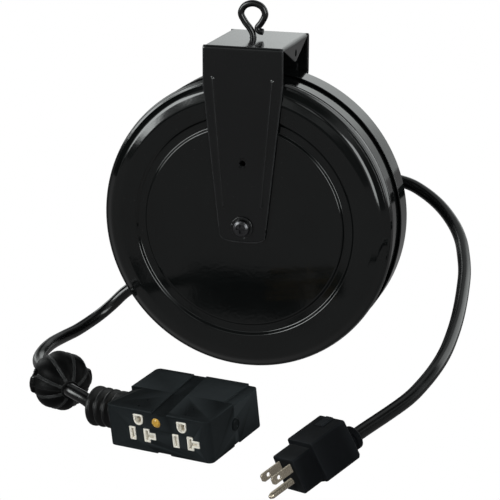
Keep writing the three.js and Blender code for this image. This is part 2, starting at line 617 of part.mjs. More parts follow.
function plugBody() {
  const nose = plateXZ([[-12.2, 6.6], [12.2, 6.6], [12.6, -14], [9, -20.7], [-9, -20.7], [-12.6, -14]], 0, 18);
  const grip = plateXZ([[-14.6, 9.9], [14.6, 9.9], [16.2, -14], [12, -21.3], [-12, -21.3], [-16.2, -14]], 17, 50);
  const collar = move(turned([[0, 49], [8.6, 49], [8.6, 57], [7.4, 58.6], [0, 58.6]], 12), 0, 0, CORD_EXIT[2]);
  const ridge = block(-4.5, 4.5, 38, 49, 9, 11.2);
  const sockets = [-1, 1].map((s) => {
    const x = (s * BLADE_GAP) / 2;
    return block(x - 1.1, x + 1.1, -1, 8.4, -3.6, 3.6);
  });
  const pinSocket = move(disc(PIN.r + GAP + 0.1, -1, 8.4, 10), 0, 0, PIN.z);
  const cordBore = move(disc(CORD_R + 0.5, 46, 60, 12), 0, 0, CORD_EXIT[2]);
  return cut(join(nose, grip, collar, ridge), ...sockets, pinSocket, cordBore);
}

function plugBlade(side) {
  const x = (side * BLADE_GAP) / 2;
  const [w, t] = [BLADE.wide / 2, BLADE.thick / 2];
  const outline = [[8, -w], [8, w], [-BLADE.long + 1.4, w], [-BLADE.long, w - 1.4],
    [-BLADE.long, -w + 1.4], [-BLADE.long + 1.4, -w]];
  const hole = alongX(disc(BLADE.hole, -3, 3, 10), x, BLADE.holeAt, 0);
  return cut(plateYZ(outline, x - t, x + t), hole);
}

piece("plug_body", plugBody(), RUBBER, plug);
piece("blade_line", plugBlade(1), BLADE_METAL, plug);
piece("blade_neutral", plugBlade(-1), BLADE_METAL, plug);
const pinShape = [[0, -PIN.long], [1.4, -PIN.long + 0.4], [PIN.r, -PIN.long + 2.4], [PIN.r, 8], [0, 8]];
piece("ground_pin", move(turned(pinShape, 12), 0, 0, PIN.z), BLADE_METAL, plug);
const plugBend = toPlug(PLUG_BEND);
const plugCord = bar([plugBend, [0.6, 72, -11.2], CORD_EXIT, [0, 53, -11], [0, 47, -11]], CORD_R, 8);
piece("plug_cord", withBall(plugCord, plugBend), CORD, plug);

// ---- Origin: the upper face of the bracket ----
const group = new THREE.Group();
group.name = "extension_cord_reel";
reel.position.z = -BRACKET.top;
group.add(reel);

export default group;
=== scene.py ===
"""Looks for a hanging extension cord reel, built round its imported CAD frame.

Every piece is laid out in millimetres round the drum's axle, as the CAD part is. build() then lowers it by
AXLE_DROP and scales it to metres, because the part's origin is on the bracket's upper face.
"""

import math

import bmesh
import bpy
import numpy as np
from mathutils import Matrix, Vector


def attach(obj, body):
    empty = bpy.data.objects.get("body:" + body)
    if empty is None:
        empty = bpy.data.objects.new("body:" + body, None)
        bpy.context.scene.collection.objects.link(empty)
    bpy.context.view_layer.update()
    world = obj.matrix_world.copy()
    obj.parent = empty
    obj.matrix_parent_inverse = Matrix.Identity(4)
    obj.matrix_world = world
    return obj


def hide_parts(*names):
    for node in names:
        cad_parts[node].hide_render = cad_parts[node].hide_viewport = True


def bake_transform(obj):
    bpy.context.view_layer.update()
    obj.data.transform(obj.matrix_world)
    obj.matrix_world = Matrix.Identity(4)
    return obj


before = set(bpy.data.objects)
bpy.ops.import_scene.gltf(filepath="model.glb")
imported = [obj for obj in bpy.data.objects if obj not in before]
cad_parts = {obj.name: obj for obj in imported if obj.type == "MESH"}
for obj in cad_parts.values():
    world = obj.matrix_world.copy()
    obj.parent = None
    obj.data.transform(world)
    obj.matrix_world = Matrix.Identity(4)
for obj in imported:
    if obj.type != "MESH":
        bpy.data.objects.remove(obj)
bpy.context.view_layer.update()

# ---- Driving dimensions, in millimetres, the same as the CAD part's ----
MM = 0.001
AXLE_DROP = 147.3  # the axle below the part's origin
CORD_R = 5.1
MOUTH_Y = -9.0
FRONT_Y, REAR_Y = -37.0, 37.0
SHEET = 1.3
OUT = np.array([math.cos(math.radians(213)), 0.0, math.sin(math.radians(213))])
LEG_FRONT, LEG_REAR = -39.5, 39.9
EYE_X, EYE_Y, EYE_WIRE = -4.0, 3.0, 2.7
BALL_AT = np.array([-106.6, -169.6, -97.0])
BALL_AXIS = np.array([0.645, -0.765, 0.0])
BOX_CORNER = np.array([-46.0, -223.0, -122.0])
BOX_YAW, BOX_PITCH, BOX_ROLL = -15.5, 5.3, -4.2
BOX_W, BOX_D, BOX_H, BOX_WALL, BOX_SEAM = 91.0, 69.0, 33.3, 2.5, 34.5
PORT_Y, PORT_Z = 25.0, 16.0
OUTLETS = (29.05, 67.4)
BLADE_Z, GROUND_Z, BLADE_GAP = 13.7, 25.6, 12.7
POSTS = ((11.0, 4.6), (85.4, 4.6))
BUTTON_Z, BUTTON_R = 16.6, 4.8
LENS_X, LENS_Z, LENS_R = 44.5, 25.0, 3.8
PLUG_NOSE = np.array([103.0, -271.0, -102.0])
PLUG_X, PLUG_Y, PLUG_Z = (0.776, -0.605, 0.177), (0.532, 0.78, 0.329), (-0.337, -0.161, 0.928)
LEAD_ROOT = np.array([0.0, 54.5, 0.0])
LEAD_OUT = np.array([0.962, -0.06, 0.265])
LEAD_BEND = (162.7, 14, 2.4)
BOX_BEND = (-80, -190.5, -100.5)
CORD_EXIT = (1.2, 0, -12.6)


# ---- Frames ----
def unit(v):
    v = np.asarray(v, float)
    return v / np.linalg.norm(v)


def frame_of(origin, x, y, z):
    m = np.eye(4)
    m[:3, 0], m[:3, 1], m[:3, 2], m[:3, 3] = x, y, z, origin
    return m


def along(origin, direction):
    """A frame whose Y axis lies along direction."""
    y = unit(direction)
    side = np.cross(y, (0, 0, 1)) if abs(y[2]) < 0.9 else np.cross(y, (1, 0, 0))
    x = unit(side)
    return frame_of(origin, x, y, np.cross(x, y))


def turn(axis, degrees):
    return np.array(Matrix.Rotation(math.radians(degrees), 3, axis))


IDENTITY = np.eye(4)
BOX_TURN = turn("Y", BOX_ROLL) @ turn("X", BOX_PITCH) @ turn("Z", BOX_YAW)
BOX = frame_of(BOX_CORNER, *BOX_TURN.T)
BALL = frame_of(BALL_AT, unit(np.cross(BALL_AXIS, (0, 0, 1))), unit(BALL_AXIS), (0, 0, 1))
PLUG = frame_of(PLUG_NOSE, unit(PLUG_X), unit(PLUG_Y), unit(PLUG_Z))


def at(matrix, point):
    return matrix[:3, :3] @ np.asarray(point, float) + matrix[:3, 3]


def shifted(matrix, x, y, z):
    moved = matrix.copy()
    moved[:3, 3] = at(matrix, (x, y, z))
    return moved


def x_along(matrix, x, y, z):
    """The frame at a point whose Y axis is the given frame's X axis."""
    m = matrix[:3, :3]
    return frame_of(at(matrix, (x, y, z)), m[:, 1], m[:, 0], -m[:, 2])


def z_along(matrix, x, y, z):
    """The frame at a point whose Y axis is the given frame's Z axis."""
    m = matrix[:3, :3]
    return frame_of(at(matrix, (x, y, z)), m[:, 0], m[:, 2], -m[:, 1])


def metres(point):
    return tuple((np.asarray(point, float) + (0, 0, -AXLE_DROP)) * MM)


# ---- Meshes ----
def tidy(mesh, weld=2e-6):
    bm = bmesh.new()
    bm.from_mesh(mesh)
    bmesh.ops.remove_doubles(bm, verts=bm.verts, dist=weld)
    bmesh.ops.recalc_face_normals(bm, faces=bm.faces)
    bm.to_mesh(mesh)
    bm.free()


def build(name, verts, faces, matrix=IDENTITY, uv=None, marks=None):
    points = np.asarray(verts, float) @ matrix[:3, :3].T + matrix[:3, 3]
    points = (points + (0, 0, -AXLE_DROP)) * MM
    mesh = bpy.data.meshes.new(name)
    mesh.from_pydata(points.tolist(), [], [list(map(int, f)) for f in faces])
    if uv is not None:
        layer = mesh.uv_layers.new(name="along")
        layer.data.foreach_set("uv", np.asarray(uv, np.float32).ravel())
    if marks is not None:
        for look in (None, None):
            mesh.materials.append(look)
        mesh.polygons.foreach_set("material_index", np.asarray(marks, np.int32))
    tidy(mesh)
    obj = bpy.data.objects.new(name, mesh)
    bpy.context.scene.collection.objects.link(obj)
    return obj


def rounded(corners, closed=True, steps=4):
    """Polygon of (a, b) or (a, b, radius), with each corner that has a radius turned into an arc."""
    points = [np.array(c[:2], float) for c in corners]
    out = []
    for i, p in enumerate(points):
        r = corners[i][2] if len(corners[i]) > 2 else 0
        if r <= 0 or (not closed and i in (0, len(points) - 1)):
            out.append(p)
            continue
        a, b = points[i - 1] - p, points[(i + 1) % len(points)] - p
        la, lb = np.linalg.norm(a), np.linalg.norm(b)
        a, b = a / la, b / lb
        half = math.acos(np.clip(a @ b, -1, 1)) / 2
        if half > math.radians(89):
            out.append(p)
            continue
        back = min(r / math.tan(half), 0.48 * la, 0.48 * lb)
        centre = p + unit(a + b) * back / math.cos(half)
        u, w = p + a * back - centre, p + b * back - centre
        sweep = math.atan2(u[0] * w[1] - u[1] * w[0], u @ w)
        for k in range(steps + 1):
            c, s = math.cos(sweep * k / steps), math.sin(sweep * k / steps)
            out.append(centre + (u[0] * c - u[1] * s, u[0] * s + u[1] * c))
    return np.array(out)


def loft(name, rings, matrix=IDENTITY, loop=False, marked=None):
    """Skin over closed rings of equal length; loop joins the last ring to the first.

    marked(ring, point) says which faces take the second material.
    """
    rings = np.asarray(rings, float)
    m, n = rings.shape[:2]
    faces, marks = [], []
    for i in range(m if loop else m - 1):
        k = (i + 1) % m
        for j in range(n):
            q = (j + 1) % n
            faces.append((i * n + j, i * n + q, k * n + q, k * n + j))
            marks.append(int(bool(marked and marked(i, j))))
    if not loop:
        faces += [range(n - 1, -1, -1), range((m - 1) * n, m * n)]
        marks += [0, 0]
    return build(name, rings.reshape(-1, 3), faces, matrix, marks=marks if marked else None)


def revolve(name, profile, matrix=IDENTITY, segments=64, steps=4):
    """Closed profile of (radius, y[, fillet]) turned about the frame's Y axis."""
    p = rounded(profile, steps=steps)
    angles = np.linspace(0, 2 * math.pi, segments, endpoint=False)
    rings = [np.stack([p[:, 0] * math.cos(t), p[:, 1], p[:, 0] * math.sin(t)], 1) for t in angles]
    return loft(name, rings, matrix, loop=True)


def prism(name, outline, y0, y1, matrix=IDENTITY):
    """Closed outline of (x, z) between two y values."""
    p = np.asarray(outline, float)
    rings = [np.stack([p[:, 0], np.full(len(p), y), p[:, 1]], 1) for y in (y0, y1)]
    return loft(name, rings, matrix)


def plate(name, loops, y0, y1, edge, matrix=IDENTITY):
    """Plate with holes: loops of (x, z), the first the outline, its edges rounded by a small radius."""
    curve = bpy.data.curves.new(name, "CURVE")
    curve.dimensions, curve.fill_mode = "2D", "BOTH"
    curve.extrude = (y1 - y0) / 2 - edge
    curve.bevel_depth, curve.bevel_resolution, curve.offset = edge, 2, -edge
    for loop in loops:
        spline = curve.splines.new("POLY")
        spline.points.add(len(loop) - 1)
        for point, (x, z) in zip(spline.points, loop):
            point.co = (x, z, 0, 1)
        spline.use_cyclic_u = True
    holder = bpy.data.objects.new(name, curve)
    bpy.context.scene.collection.objects.link(holder)
    bpy.context.view_layer.update()
    made = bpy.data.meshes.new_from_object(holder.evaluated_get(bpy.context.evaluated_depsgraph_get()))
    verts = [(v.co.x, (y0 + y1) / 2 + v.co.z, v.co.y) for v in made.vertices]
    faces = [tuple(f.vertices) for f in made.polygons]
    bpy.data.objects.remove(holder)
    bpy.data.meshes.remove(made)
    return build(name, verts, faces, matrix)


def block(name, x0, x1, y0, y1, z0, z1, matrix=IDENTITY, r=0.0):
    """Block with rounded upright edges; it is only ever one part of a larger shape."""
    outline = rounded([(x0, z0, r), (x1, z0, r), (x1, z1, r), (x0, z1, r)])
    return prism(name, outline, y0, y1, matrix)


def rod(name, r, y0, y1, matrix=IDENTITY, segments=32):
    return revolve(name, [(0, y0), (r, y0), (r, y1), (0, y1)], matrix, segments)


def bake(obj):
    """Replaces an object's mesh by its shape with modifiers applied."""
    bpy.context.view_layer.update()
    made = bpy.data.meshes.new_from_object(obj.evaluated_get(bpy.context.evaluated_depsgraph_get()))
    obj.modifiers.clear()
    old, obj.data = obj.data, made
    bpy.data.meshes.remove(old)


def combine(obj, tools, operation):
    """Exact boolean of obj with each tool, which is used up."""
    for tool in tools:
        mod = obj.modifiers.new("bool", "BOOLEAN")
        mod.operation, mod.solver, mod.object = operation, "EXACT", tool
        bake(obj)
        old = tool.data
        bpy.data.objects.remove(tool)
        bpy.data.meshes.remove(old)
    tidy(obj.data, 1e-6)
    return obj


def cut(obj, *tools):
    return combine(obj, tools, "DIFFERENCE")


def join(obj, *tools):
    return combine(obj, tools, "UNION")


def soften(obj, width, angle=40, segments=2):
    """Small rounded edges wherever faces meet at more than the angle."""
    mod = obj.modifiers.new("edges", "BEVEL")
    mod.width, mod.segments, mod.limit_method = width * MM, segments, "ANGLE"
    mod.angle_limit, mod.use_clamp_overlap = math.radians(angle), True
    bake(obj)
    return obj


def merge(name, *objects):
    """One object from several separate closed shells."""
    bm = bmesh.new()
    for o in objects:
        bm.from_mesh(o.data)
    mesh = bpy.data.meshes.new(name)
    bm.to_mesh(mesh)
    bm.free()
    for o in objects:
        old = o.data
        bpy.data.objects.remove(o)
        bpy.data.meshes.remove(old)
    made = bpy.data.objects.new(name, mesh)
    bpy.context.scene.collection.objects.link(made)
    return made


# ---- Curves ----
def curve_points(points, step):
    """Centripetal Catmull-Rom curve through the points, evenly spaced."""
    p = np.asarray(points, float)
    p = np.vstack([2 * p[0] - p[1], p, 2 * p[-1] - p[-2]])
    dense = []
    for i in range(1, len(p) - 2):
        a, b, c, d = p[i - 1], p[i], p[i + 1], p[i + 2]
        t1 = np.linalg.norm(b - a) ** 0.5
        t2 = t1 + np.linalg.norm(c - b) ** 0.5
        t3 = t2 + np.linalg.norm(d - c) ** 0.5
        for t in np.linspace(t1, t2, 40, endpoint=False):
            a1 = (t1 - t) / t1 * a + t / t1 * b
            a2 = (t2 - t) / (t2 - t1) * b + (t - t1) / (t2 - t1) * c
            a3 = (t3 - t) / (t3 - t2) * c + (t - t2) / (t3 - t2) * d
            b1 = (t2 - t) / t2 * a1 + t / t2 * a2
            b2 = (t3 - t) / (t3 - t1) * a2 + (t - t1) / (t3 - t1) * a3
            dense.append((t2 - t) / (t2 - t1) * b1 + (t - t1) / (t2 - t1) * b2)
    dense.append(p[-2])
    return resample(np.array(dense), step)


def resample(line, step):
    lengths = np.concatenate([[0], np.cumsum(np.linalg.norm(np.diff(line, axis=0), axis=1))])
    count = max(2, int(round(lengths[-1] / step)) + 1)
    where = np.linspace(0, lengths[-1], count)
    return np.stack([np.interp(where, lengths, line[:, k]) for k in range(3)], 1)


def tube(name, line, r, sides=28, matrix=IDENTITY, edge=0.0, radius_at=None):
    """Round tube along a line of points, with UV running round and along it in metres."""
    line = np.asarray(line, float)
    tangents = np.gradient(line, axis=0)
    tangents /= np.linalg.norm(tangents, axis=1)[:, None]
    normal = unit(np.cross(tangents[0], (0.31, 0.22, 0.92)))
    lengths = np.concatenate([[0], np.cumsum(np.linalg.norm(np.diff(line, axis=0), axis=1))])
    angles = np.linspace(0, 2 * math.pi, sides, endpoint=False)
    rings, marks = [], []

    def ring(centre, tangent, normal, radius, mark):
        other = np.cross(tangent, normal)
        rings.append([centre + radius * (math.cos(a) * normal + math.sin(a) * other) for a in angles])
        marks.append(mark)

    for i, (c, t) in enumerate(zip(line, tangents)):
        normal = unit(normal - t * (normal @ t))
        radius = radius_at(lengths[i]) if radius_at else r
        if edge and i == 0:
            for k in range(3):
                a = math.pi / 2 * k / 3
                ring(c - t * edge * (math.cos(a)), t, normal, radius - edge * (1 - math.sin(a)), 0)
        ring(c, t, normal, radius, lengths[i])
        if edge and i == len(line) - 1:
            for k in range(2, -1, -1):
                a = math.pi / 2 * k / 3
                ring(c + t * edge * (math.cos(a)), t, normal, radius - edge * (1 - math.sin(a)), lengths[i])
    verts = np.asarray(rings).reshape(-1, 3)
    faces, uv = [], []
    for i in range(len(rings) - 1):
        for j in range(sides):
            q = (j + 1) % sides
            faces.append((i * sides + j, i * sides + q, (i + 1) * sides + q, (i + 1) * sides + j))
            a, b = marks[i] * MM, marks[i + 1] * MM
            uv += [(j / sides, a), ((j + 1) / sides, a), ((j + 1) / sides, b), (j / sides, b)]
    for start in (0, (len(rings) - 1) * sides):
        faces.append(range(start, start + sides))
        uv += [(0.5, 0)] * sides
    return build(name, verts, faces, matrix, uv)


# ---- Materials ----
class Nodes:
    """Short names for building a node tree."""

    def __init__(self, name):
        self.material = bpy.data.materials.new(name)
        self.material.use_nodes = True
        self.tree = self.material.node_tree
        self.shader = self.tree.nodes["Principled BSDF"]
        coords = self.tree.nodes.new("ShaderNodeTexCoord")
        self.object_co, self.uv_co = coords.outputs["Object"], coords.outputs["UV"]

    def node(self, kind, **values):
        made = self.tree.nodes.new(kind)
        for key, value in values.items():
            if hasattr(made, key):
                setattr(made, key, value)
        return made

    def link(self, a, b):
        self.tree.links.new(a, b)

    def scaled(self, source, scale):
        mapping = self.node("ShaderNodeMapping")
        mapping.inputs["Scale"].default_value = scale
        self.link(source, mapping.inputs["Vector"])
        return mapping.outputs["Vector"]

    def noise(self, scale, detail=3.0, rough=0.5, source=None, stretch=None):
        made = self.node("ShaderNodeTexNoise")
        made.inputs["Scale"].default_value = scale
        made.inputs["Detail"].default_value = detail
        made.inputs["Roughness"].default_value = rough
        source = source or self.object_co
        self.link(self.scaled(source, stretch) if stretch else source, made.inputs["Vector"])
        return made.outputs["Fac"]

    def spread(self, source, low, high, start=0.3, end=0.7):
        made = self.node("ShaderNodeMapRange")
        for key, value in (("From Min", start), ("From Max", end), ("To Min", low), ("To Max", high)):
            made.inputs[key].default_value = value
        self.link(source, made.inputs["Value"])
        return made.outputs["Result"]

    def mix(self, factor, a, b):
        made = self.node("ShaderNodeMix", data_type="RGBA")
        self.link(factor, made.inputs["Factor"])
        for socket, value in (("A", a), ("B", b)):
            target = [s for s in made.inputs if s.name == socket and s.type == "RGBA"][0]
            if isinstance(value, tuple):
                target.default_value = (*value, 1)
            else:
                self.link(value, target)
        return [s for s in made.outputs if s.type == "RGBA"][0]

    def math(self, operation, a, b):
        made = self.node("ShaderNodeMath", operation=operation)
        for socket, value in zip(made.inputs, (a, b)):
            if isinstance(value, (int, float)):
                socket.default_value = value
            else:
                self.link(value, socket)
        return made.outputs["Value"]

    def bump(self, height, distance, strength=1.0, below=None):
        made = self.node("ShaderNodeBump")
        made.inputs["Strength"].default_value = strength
        made.inputs["Distance"].default_value = distance
        self.link(height, made.inputs["Height"])
        if below is not None:
            self.link(below, made.inputs["Normal"])
        return made.outputs["Normal"]

    def wear_and_highlight_edges(self, start=0.52, end=0.6):
        """One on raised edges, nought elsewhere: the mask for paler edges, partly scuffing and partly painted
        highlight.
        """
        geometry = self.node("ShaderNodeNewGeometry")
        return self.spread(geometry.outputs["Pointiness"], 0.0, 1.0, start, end)

    def done(self, color=None, rough=None, normal=None, values=None):
        for socket, value in (("Base Color", color), ("Roughness", rough)):
            if isinstance(value, (int, float)):
                self.shader.inputs[socket].default_value = value
            elif isinstance(value, tuple):
                self.shader.inputs[socket].default_value = (*value, 1)
            elif value is not None:
                self.link(value, self.shader.inputs[socket])
        if normal is not None:
            self.link(normal, self.shader.inputs["Normal"])
        for key, value in (values or {}).items():
            self.shader.inputs[key].default_value = value
        return self.material


def enamel(name, base=(0.0022, 0.0026, 0.0026), rough=(0.06, 0.11), peel=1.0, wear_and_highlight_colour=None):
    """Baked gloss paint on steel: orange peel, faint handling smears, a few dust specks."""
    n = Nodes(name)
    smear = n.noise(14, 4, 0.6)
    colour = n.mix(n.spread(smear, 0, 1), base, tuple(c * 1.5 for c in base))
    # Paler paint on raised edges such as the bracket's rib crests and sheet edges: partly scuffed paint, partly
    # painted highlight.
    if wear_and_highlight_colour:
        patchy_wear_and_highlight = n.math("MULTIPLY", n.wear_and_highlight_edges(0.52, 0.6), n.spread(n.noise(160, 3), 0.45, 1.0))
        colour = n.mix(patchy_wear_and_highlight, colour, wear_and_highlight_colour)
    speck = n.spread(n.noise(900, 1), 0, 1, 0.76, 0.8)
    colour = n.mix(speck, colour, (0.02, 0.02, 0.02))
    roughness = n.spread(smear, rough[0], rough[1])
    soft = n.bump(n.noise(330, 2, 0.4), 0.00005 * peel, 0.35)
    fine = n.bump(n.noise(1500, 1), 0.00001 * peel, 0.3, soft)
    return n.done(colour, roughness, fine)


def moulded(name, base, rough, grain=1.0, scale=1.0, edge=1.7, spec=0.5):
    """Moulded plastic or rubber: fine spark-eroded grain, slight mottling, paler edges that are partly rubbed and
    partly painted highlight.
    """
    n = Nodes(name)
    mottle = n.noise(45 * scale, 4, 0.6)
    colour = n.mix(n.spread(mottle, 0, 1), tuple(c * 0.85 for c in base), tuple(c * 1.15 for c in base))
    # Paler raised edges, the more so as edge grows: rubbed edges and painted highlight.
    colour = n.mix(n.wear_and_highlight_edges(), colour, tuple(min(1, c * edge + 0.004) for c in base))
    roughness = n.spread(n.noise(120 * scale, 3), rough - 0.05, rough + 0.06)
    coarse = n.bump(n.noise(1400 * scale, 2), 0.00004 * grain, 0.5)
    fine = n.bump(n.noise(3800 * scale, 1), 0.00002 * grain, 0.4, coarse)
    return n.done(colour, roughness, fine, {"Specular IOR Level": spec})


def jacket(name):
    """Extruded cord jacket: faint lengthwise drawing lines, scuffs and a dusty bloom."""
    n = Nodes(name)
    lines = n.noise(1, 3, 0.6, n.uv_co, (60, 4, 1))
    scuff = n.noise(55, 5, 0.65)
    colour = n.mix(n.spread(scuff, 0, 1), (0.001, 0.0011, 0.0012), (0.0032, 0.0033, 0.0035))
    roughness = n.math("ADD", n.spread(scuff, 0.17, 0.25), n.spread(lines, -0.03, 0.03))
    relief = n.bump(lines, 0.00012, 0.35)
    fine = n.bump(n.noise(2600, 2), 0.00002, 0.35, relief)
    return n.done(colour, roughness, fine)


def metal(name, base, rough, stretch=(1, 1, 14), tarnish=0.6):
    """Bare or plated metal with a drawn finish and slight tarnish."""
    n = Nodes(name)
    drawn = n.noise(420, 4, 0.6, stretch=stretch)
    stain = n.noise(60, 4, 0.6)
    colour = n.mix(n.spread(stain, 0, 1), base, tuple(c * tarnish for c in base))
    roughness = n.spread(drawn, rough - 0.08, rough + 0.1)
    return n.done(colour, roughness, n.bump(drawn, 0.00003, 0.3), {"Metallic": 1.0})


def clear_lens(name):
    """Amber moulded lens with a bubbly, slightly uneven inside."""
    n = Nodes(name)
    cloud = n.noise(700, 3)
    colour = n.mix(n.spread(cloud, 0, 1), (0.5, 0.25, 0.025), (0.78, 0.47, 0.08))
    return n.done(colour, n.spread(cloud, 0.08, 0.18), n.bump(n.noise(900, 2), 0.00005, 0.3),
                  {"Transmission Weight": 0.15})


# bracket_enamel's last colour is the paler paint on its raised edges: scuffed paint and painted highlight.
LOOK = {"enamel": enamel("enamel"), "bracket_enamel": enamel("bracket_enamel", (0.0028, 0.003, 0.0032),
        (0.09, 0.15), 1.2, (0.07, 0.072, 0.075)), "black_steel": enamel("black_steel", (0.004, 0.004, 0.0045),
        (0.16, 0.26), 2.0), "steel": metal("steel", (0.5, 0.5, 0.51), 0.32),
        "brass": metal("brass", (0.62, 0.44, 0.2), 0.34), "copper": metal("copper", (0.62, 0.3, 0.17), 0.32),
        "carbon": moulded("carbon", (0.02, 0.02, 0.021), 0.7), "cord_jacket": jacket("cord_jacket"),
        "rubber": moulded("rubber", (0.0026, 0.0028, 0.003), 0.42, spec=0.25),
        # The ball's lobes take a darker, duller copy of the rubber as painted shade, its ribs a paler, shinier copy
        # as painted highlight.
        "ball_rubber_painted_shade": moulded("ball_rubber_painted_shade", (0.0008, 0.0008, 0.0009), 0.5, spec=0.08),
        "ball_rib_painted_highlight": moulded("ball_rib_painted_highlight", (0.009, 0.0095, 0.0098), 0.5, spec=0.3),
        # The plug and the box take edge=3.0: their much paler edges are painted highlight along the rounded edges,
        # with some rubbing.
        "plug_vinyl": moulded("plug_vinyl", (0.0056, 0.0063, 0.0073), 0.5, spec=0.03, edge=3.0),
        "box_plastic": moulded("box_plastic", (0.0075, 0.009, 0.0098), 0.55, spec=0.02, edge=3.0),
        "dark_steel": metal("dark_steel", (0.1, 0.1, 0.105), 0.26), "nylon": moulded("nylon",
        (0.006, 0.0065, 0.007), 0.4), "insulator": moulded("insulator", (0.06, 0.028, 0.014), 0.5),
        "ivory": moulded("ivory", (0.78, 0.74, 0.66), 0.35, edge=1.1), "amber": clear_lens("amber"),
        "blade_metal": metal("blade_metal", (0.72, 0.63, 0.5), 0.26, (14, 1, 1), 0.75), }
for look in LOOK.values():
    look.diffuse_color = (0.1, 0.1, 0.1, 1)


SAME_PLANE = 0.004  # radians between faces that count as one flat patch
FLAT_BEND = 0.02  # radians above which the border of a flat patch is sharp
FLAT_AREA = 3e-5  # square metres above which a patch is shaded flat


def flat_areas(bm):
    """Area of the flat patch that each face belongs to, in square metres."""
    area = {}
    for start in bm.faces:
        if start in area:
            continue
        patch, queue = {start}, [start]
        while queue:
            for e in queue.pop().edges:
                if len(e.link_faces) == 2 and e.calc_face_angle(9) < SAME_PLANE:
                    for f in e.link_faces:
                        if f not in patch:
                            patch.add(f)
                            queue.append(f)
        total = sum(f.calc_area() for f in patch)
        area.update({f: total for f in patch})
    return area


def finish(obj, look, smooth=35, weighted=True, second=None, flats=False):
    """Material, and smooth shading with sharp edges above an angle; flats also shades large flat areas flat."""
    mesh = obj.data
    marks = np.zeros(len(mesh.polygons), np.int32)
    if second:
        mesh.polygons.foreach_get("material_index", marks)
    mesh.materials.clear()
    mesh.materials.append(LOOK[look])
    if second:
        mesh.materials.append(LOOK[second])
    mesh.polygons.foreach_set("material_index", marks)
    mesh.polygons.foreach_set("use_smooth", [True] * len(mesh.polygons))
    bm = bmesh.new()
    bm.from_mesh(mesh)
    area = flat_areas(bm) if flats else {}
    for e in bm.edges:
        bend = e.calc_face_angle(9) if len(e.link_faces) == 2 else 9
        e.smooth = bend < math.radians(smooth)
        if flats and bend > FLAT_BEND and max(area[f] for f in e.link_faces) > FLAT_AREA:
            e.smooth = False
    for f in area:
        f.smooth = area[f] <= FLAT_AREA
    bm.to_mesh(mesh)
    bm.free()
    if weighted and not flats:
        mod = obj.modifiers.new("normals", "WEIGHTED_NORMAL")
        mod.keep_sharp, mod.weight = True, 50
    return obj


HANGING = ("output_cord", "outlet_box", "reset_button", "plug")


def rigid(obj, body, look, *nodes, slot=None, smooth=35, weighted=True, second=None, flats=False):
    finish(obj, look, smooth, weighted, second, flats)
    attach(obj, body)
    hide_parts(*nodes)
    obj.visible_glossy = body not in HANGING
    return obj


# ---- Case ----
def case_front():
    profile = [(4.4, FRONT_Y), (82.5, FRONT_Y, 1.6), (84.2, FRONT_Y + 2.2, 1.4), (90.2, FRONT_Y + 2.2, 1.6),
               (92.4, FRONT_Y, 1.8), (106, FRONT_Y, 14), (114, FRONT_Y + 2.2, 9), (118.6, FRONT_Y + 6.2, 0.5),
               (120.6, FRONT_Y + 6.8, 1.4), (122, -26.4, 4), (120.8, -21.8, 1.6), (117.2, -19.6, 0.9),
               (117.2, -17.2, 0.9), (119.6, -15.6, 1.0), (119.6, 10), (118.3, 10), (118.3, -15),
               (115.9, -17.2), (115.9, -20), (119.2, -23.2), (119.4, -28.4), (117.3, -30), (113, -33.8, 4),
               (105.8, FRONT_Y + SHEET, 6), (93.2, FRONT_Y + SHEET), (91.2, FRONT_Y + 3.5),
               (83.4, FRONT_Y + 3.5), (81.6, FRONT_Y + SHEET), (4.4, FRONT_Y + SHEET), ]
    shell = revolve("case_front", profile, segments=192, steps=6)
    cut(shell, rod("mouth_tool", 8.7, 0, 20, along(OUT * 108 + (0, MOUTH_Y, 0), OUT)),
        rod("lock_tool", 2.6, -40, -30, shifted(IDENTITY, 0, 0, 53)))
    rigid(shell, "case", "enamel", "front_shell")


def case_rear():
    profile = [(8.4, REAR_Y), (82.5, REAR_Y, 1.6), (84.2, REAR_Y - 1.1, 1.4), (90.2, REAR_Y - 1.1, 1.6),
               (92.4, REAR_Y, 1.8), (102, REAR_Y, 16), (112, REAR_Y - 1.8, 14), (118.5, REAR_Y - 5.6, 8),
               (121.6, REAR_Y - 11, 4), (121.8, 4.3, 0.4), (120.5, 4.3, 0.3), (120.2, REAR_Y - 11.4),
               (117.4, REAR_Y - 6.6), (111.5, REAR_Y - 3.1), (101.8, REAR_Y - 2.4), (8.4, REAR_Y - 2.4), ]
    rigid(revolve("case_rear", profile, segments=192, steps=6), "case", "enamel", "rear_shell")


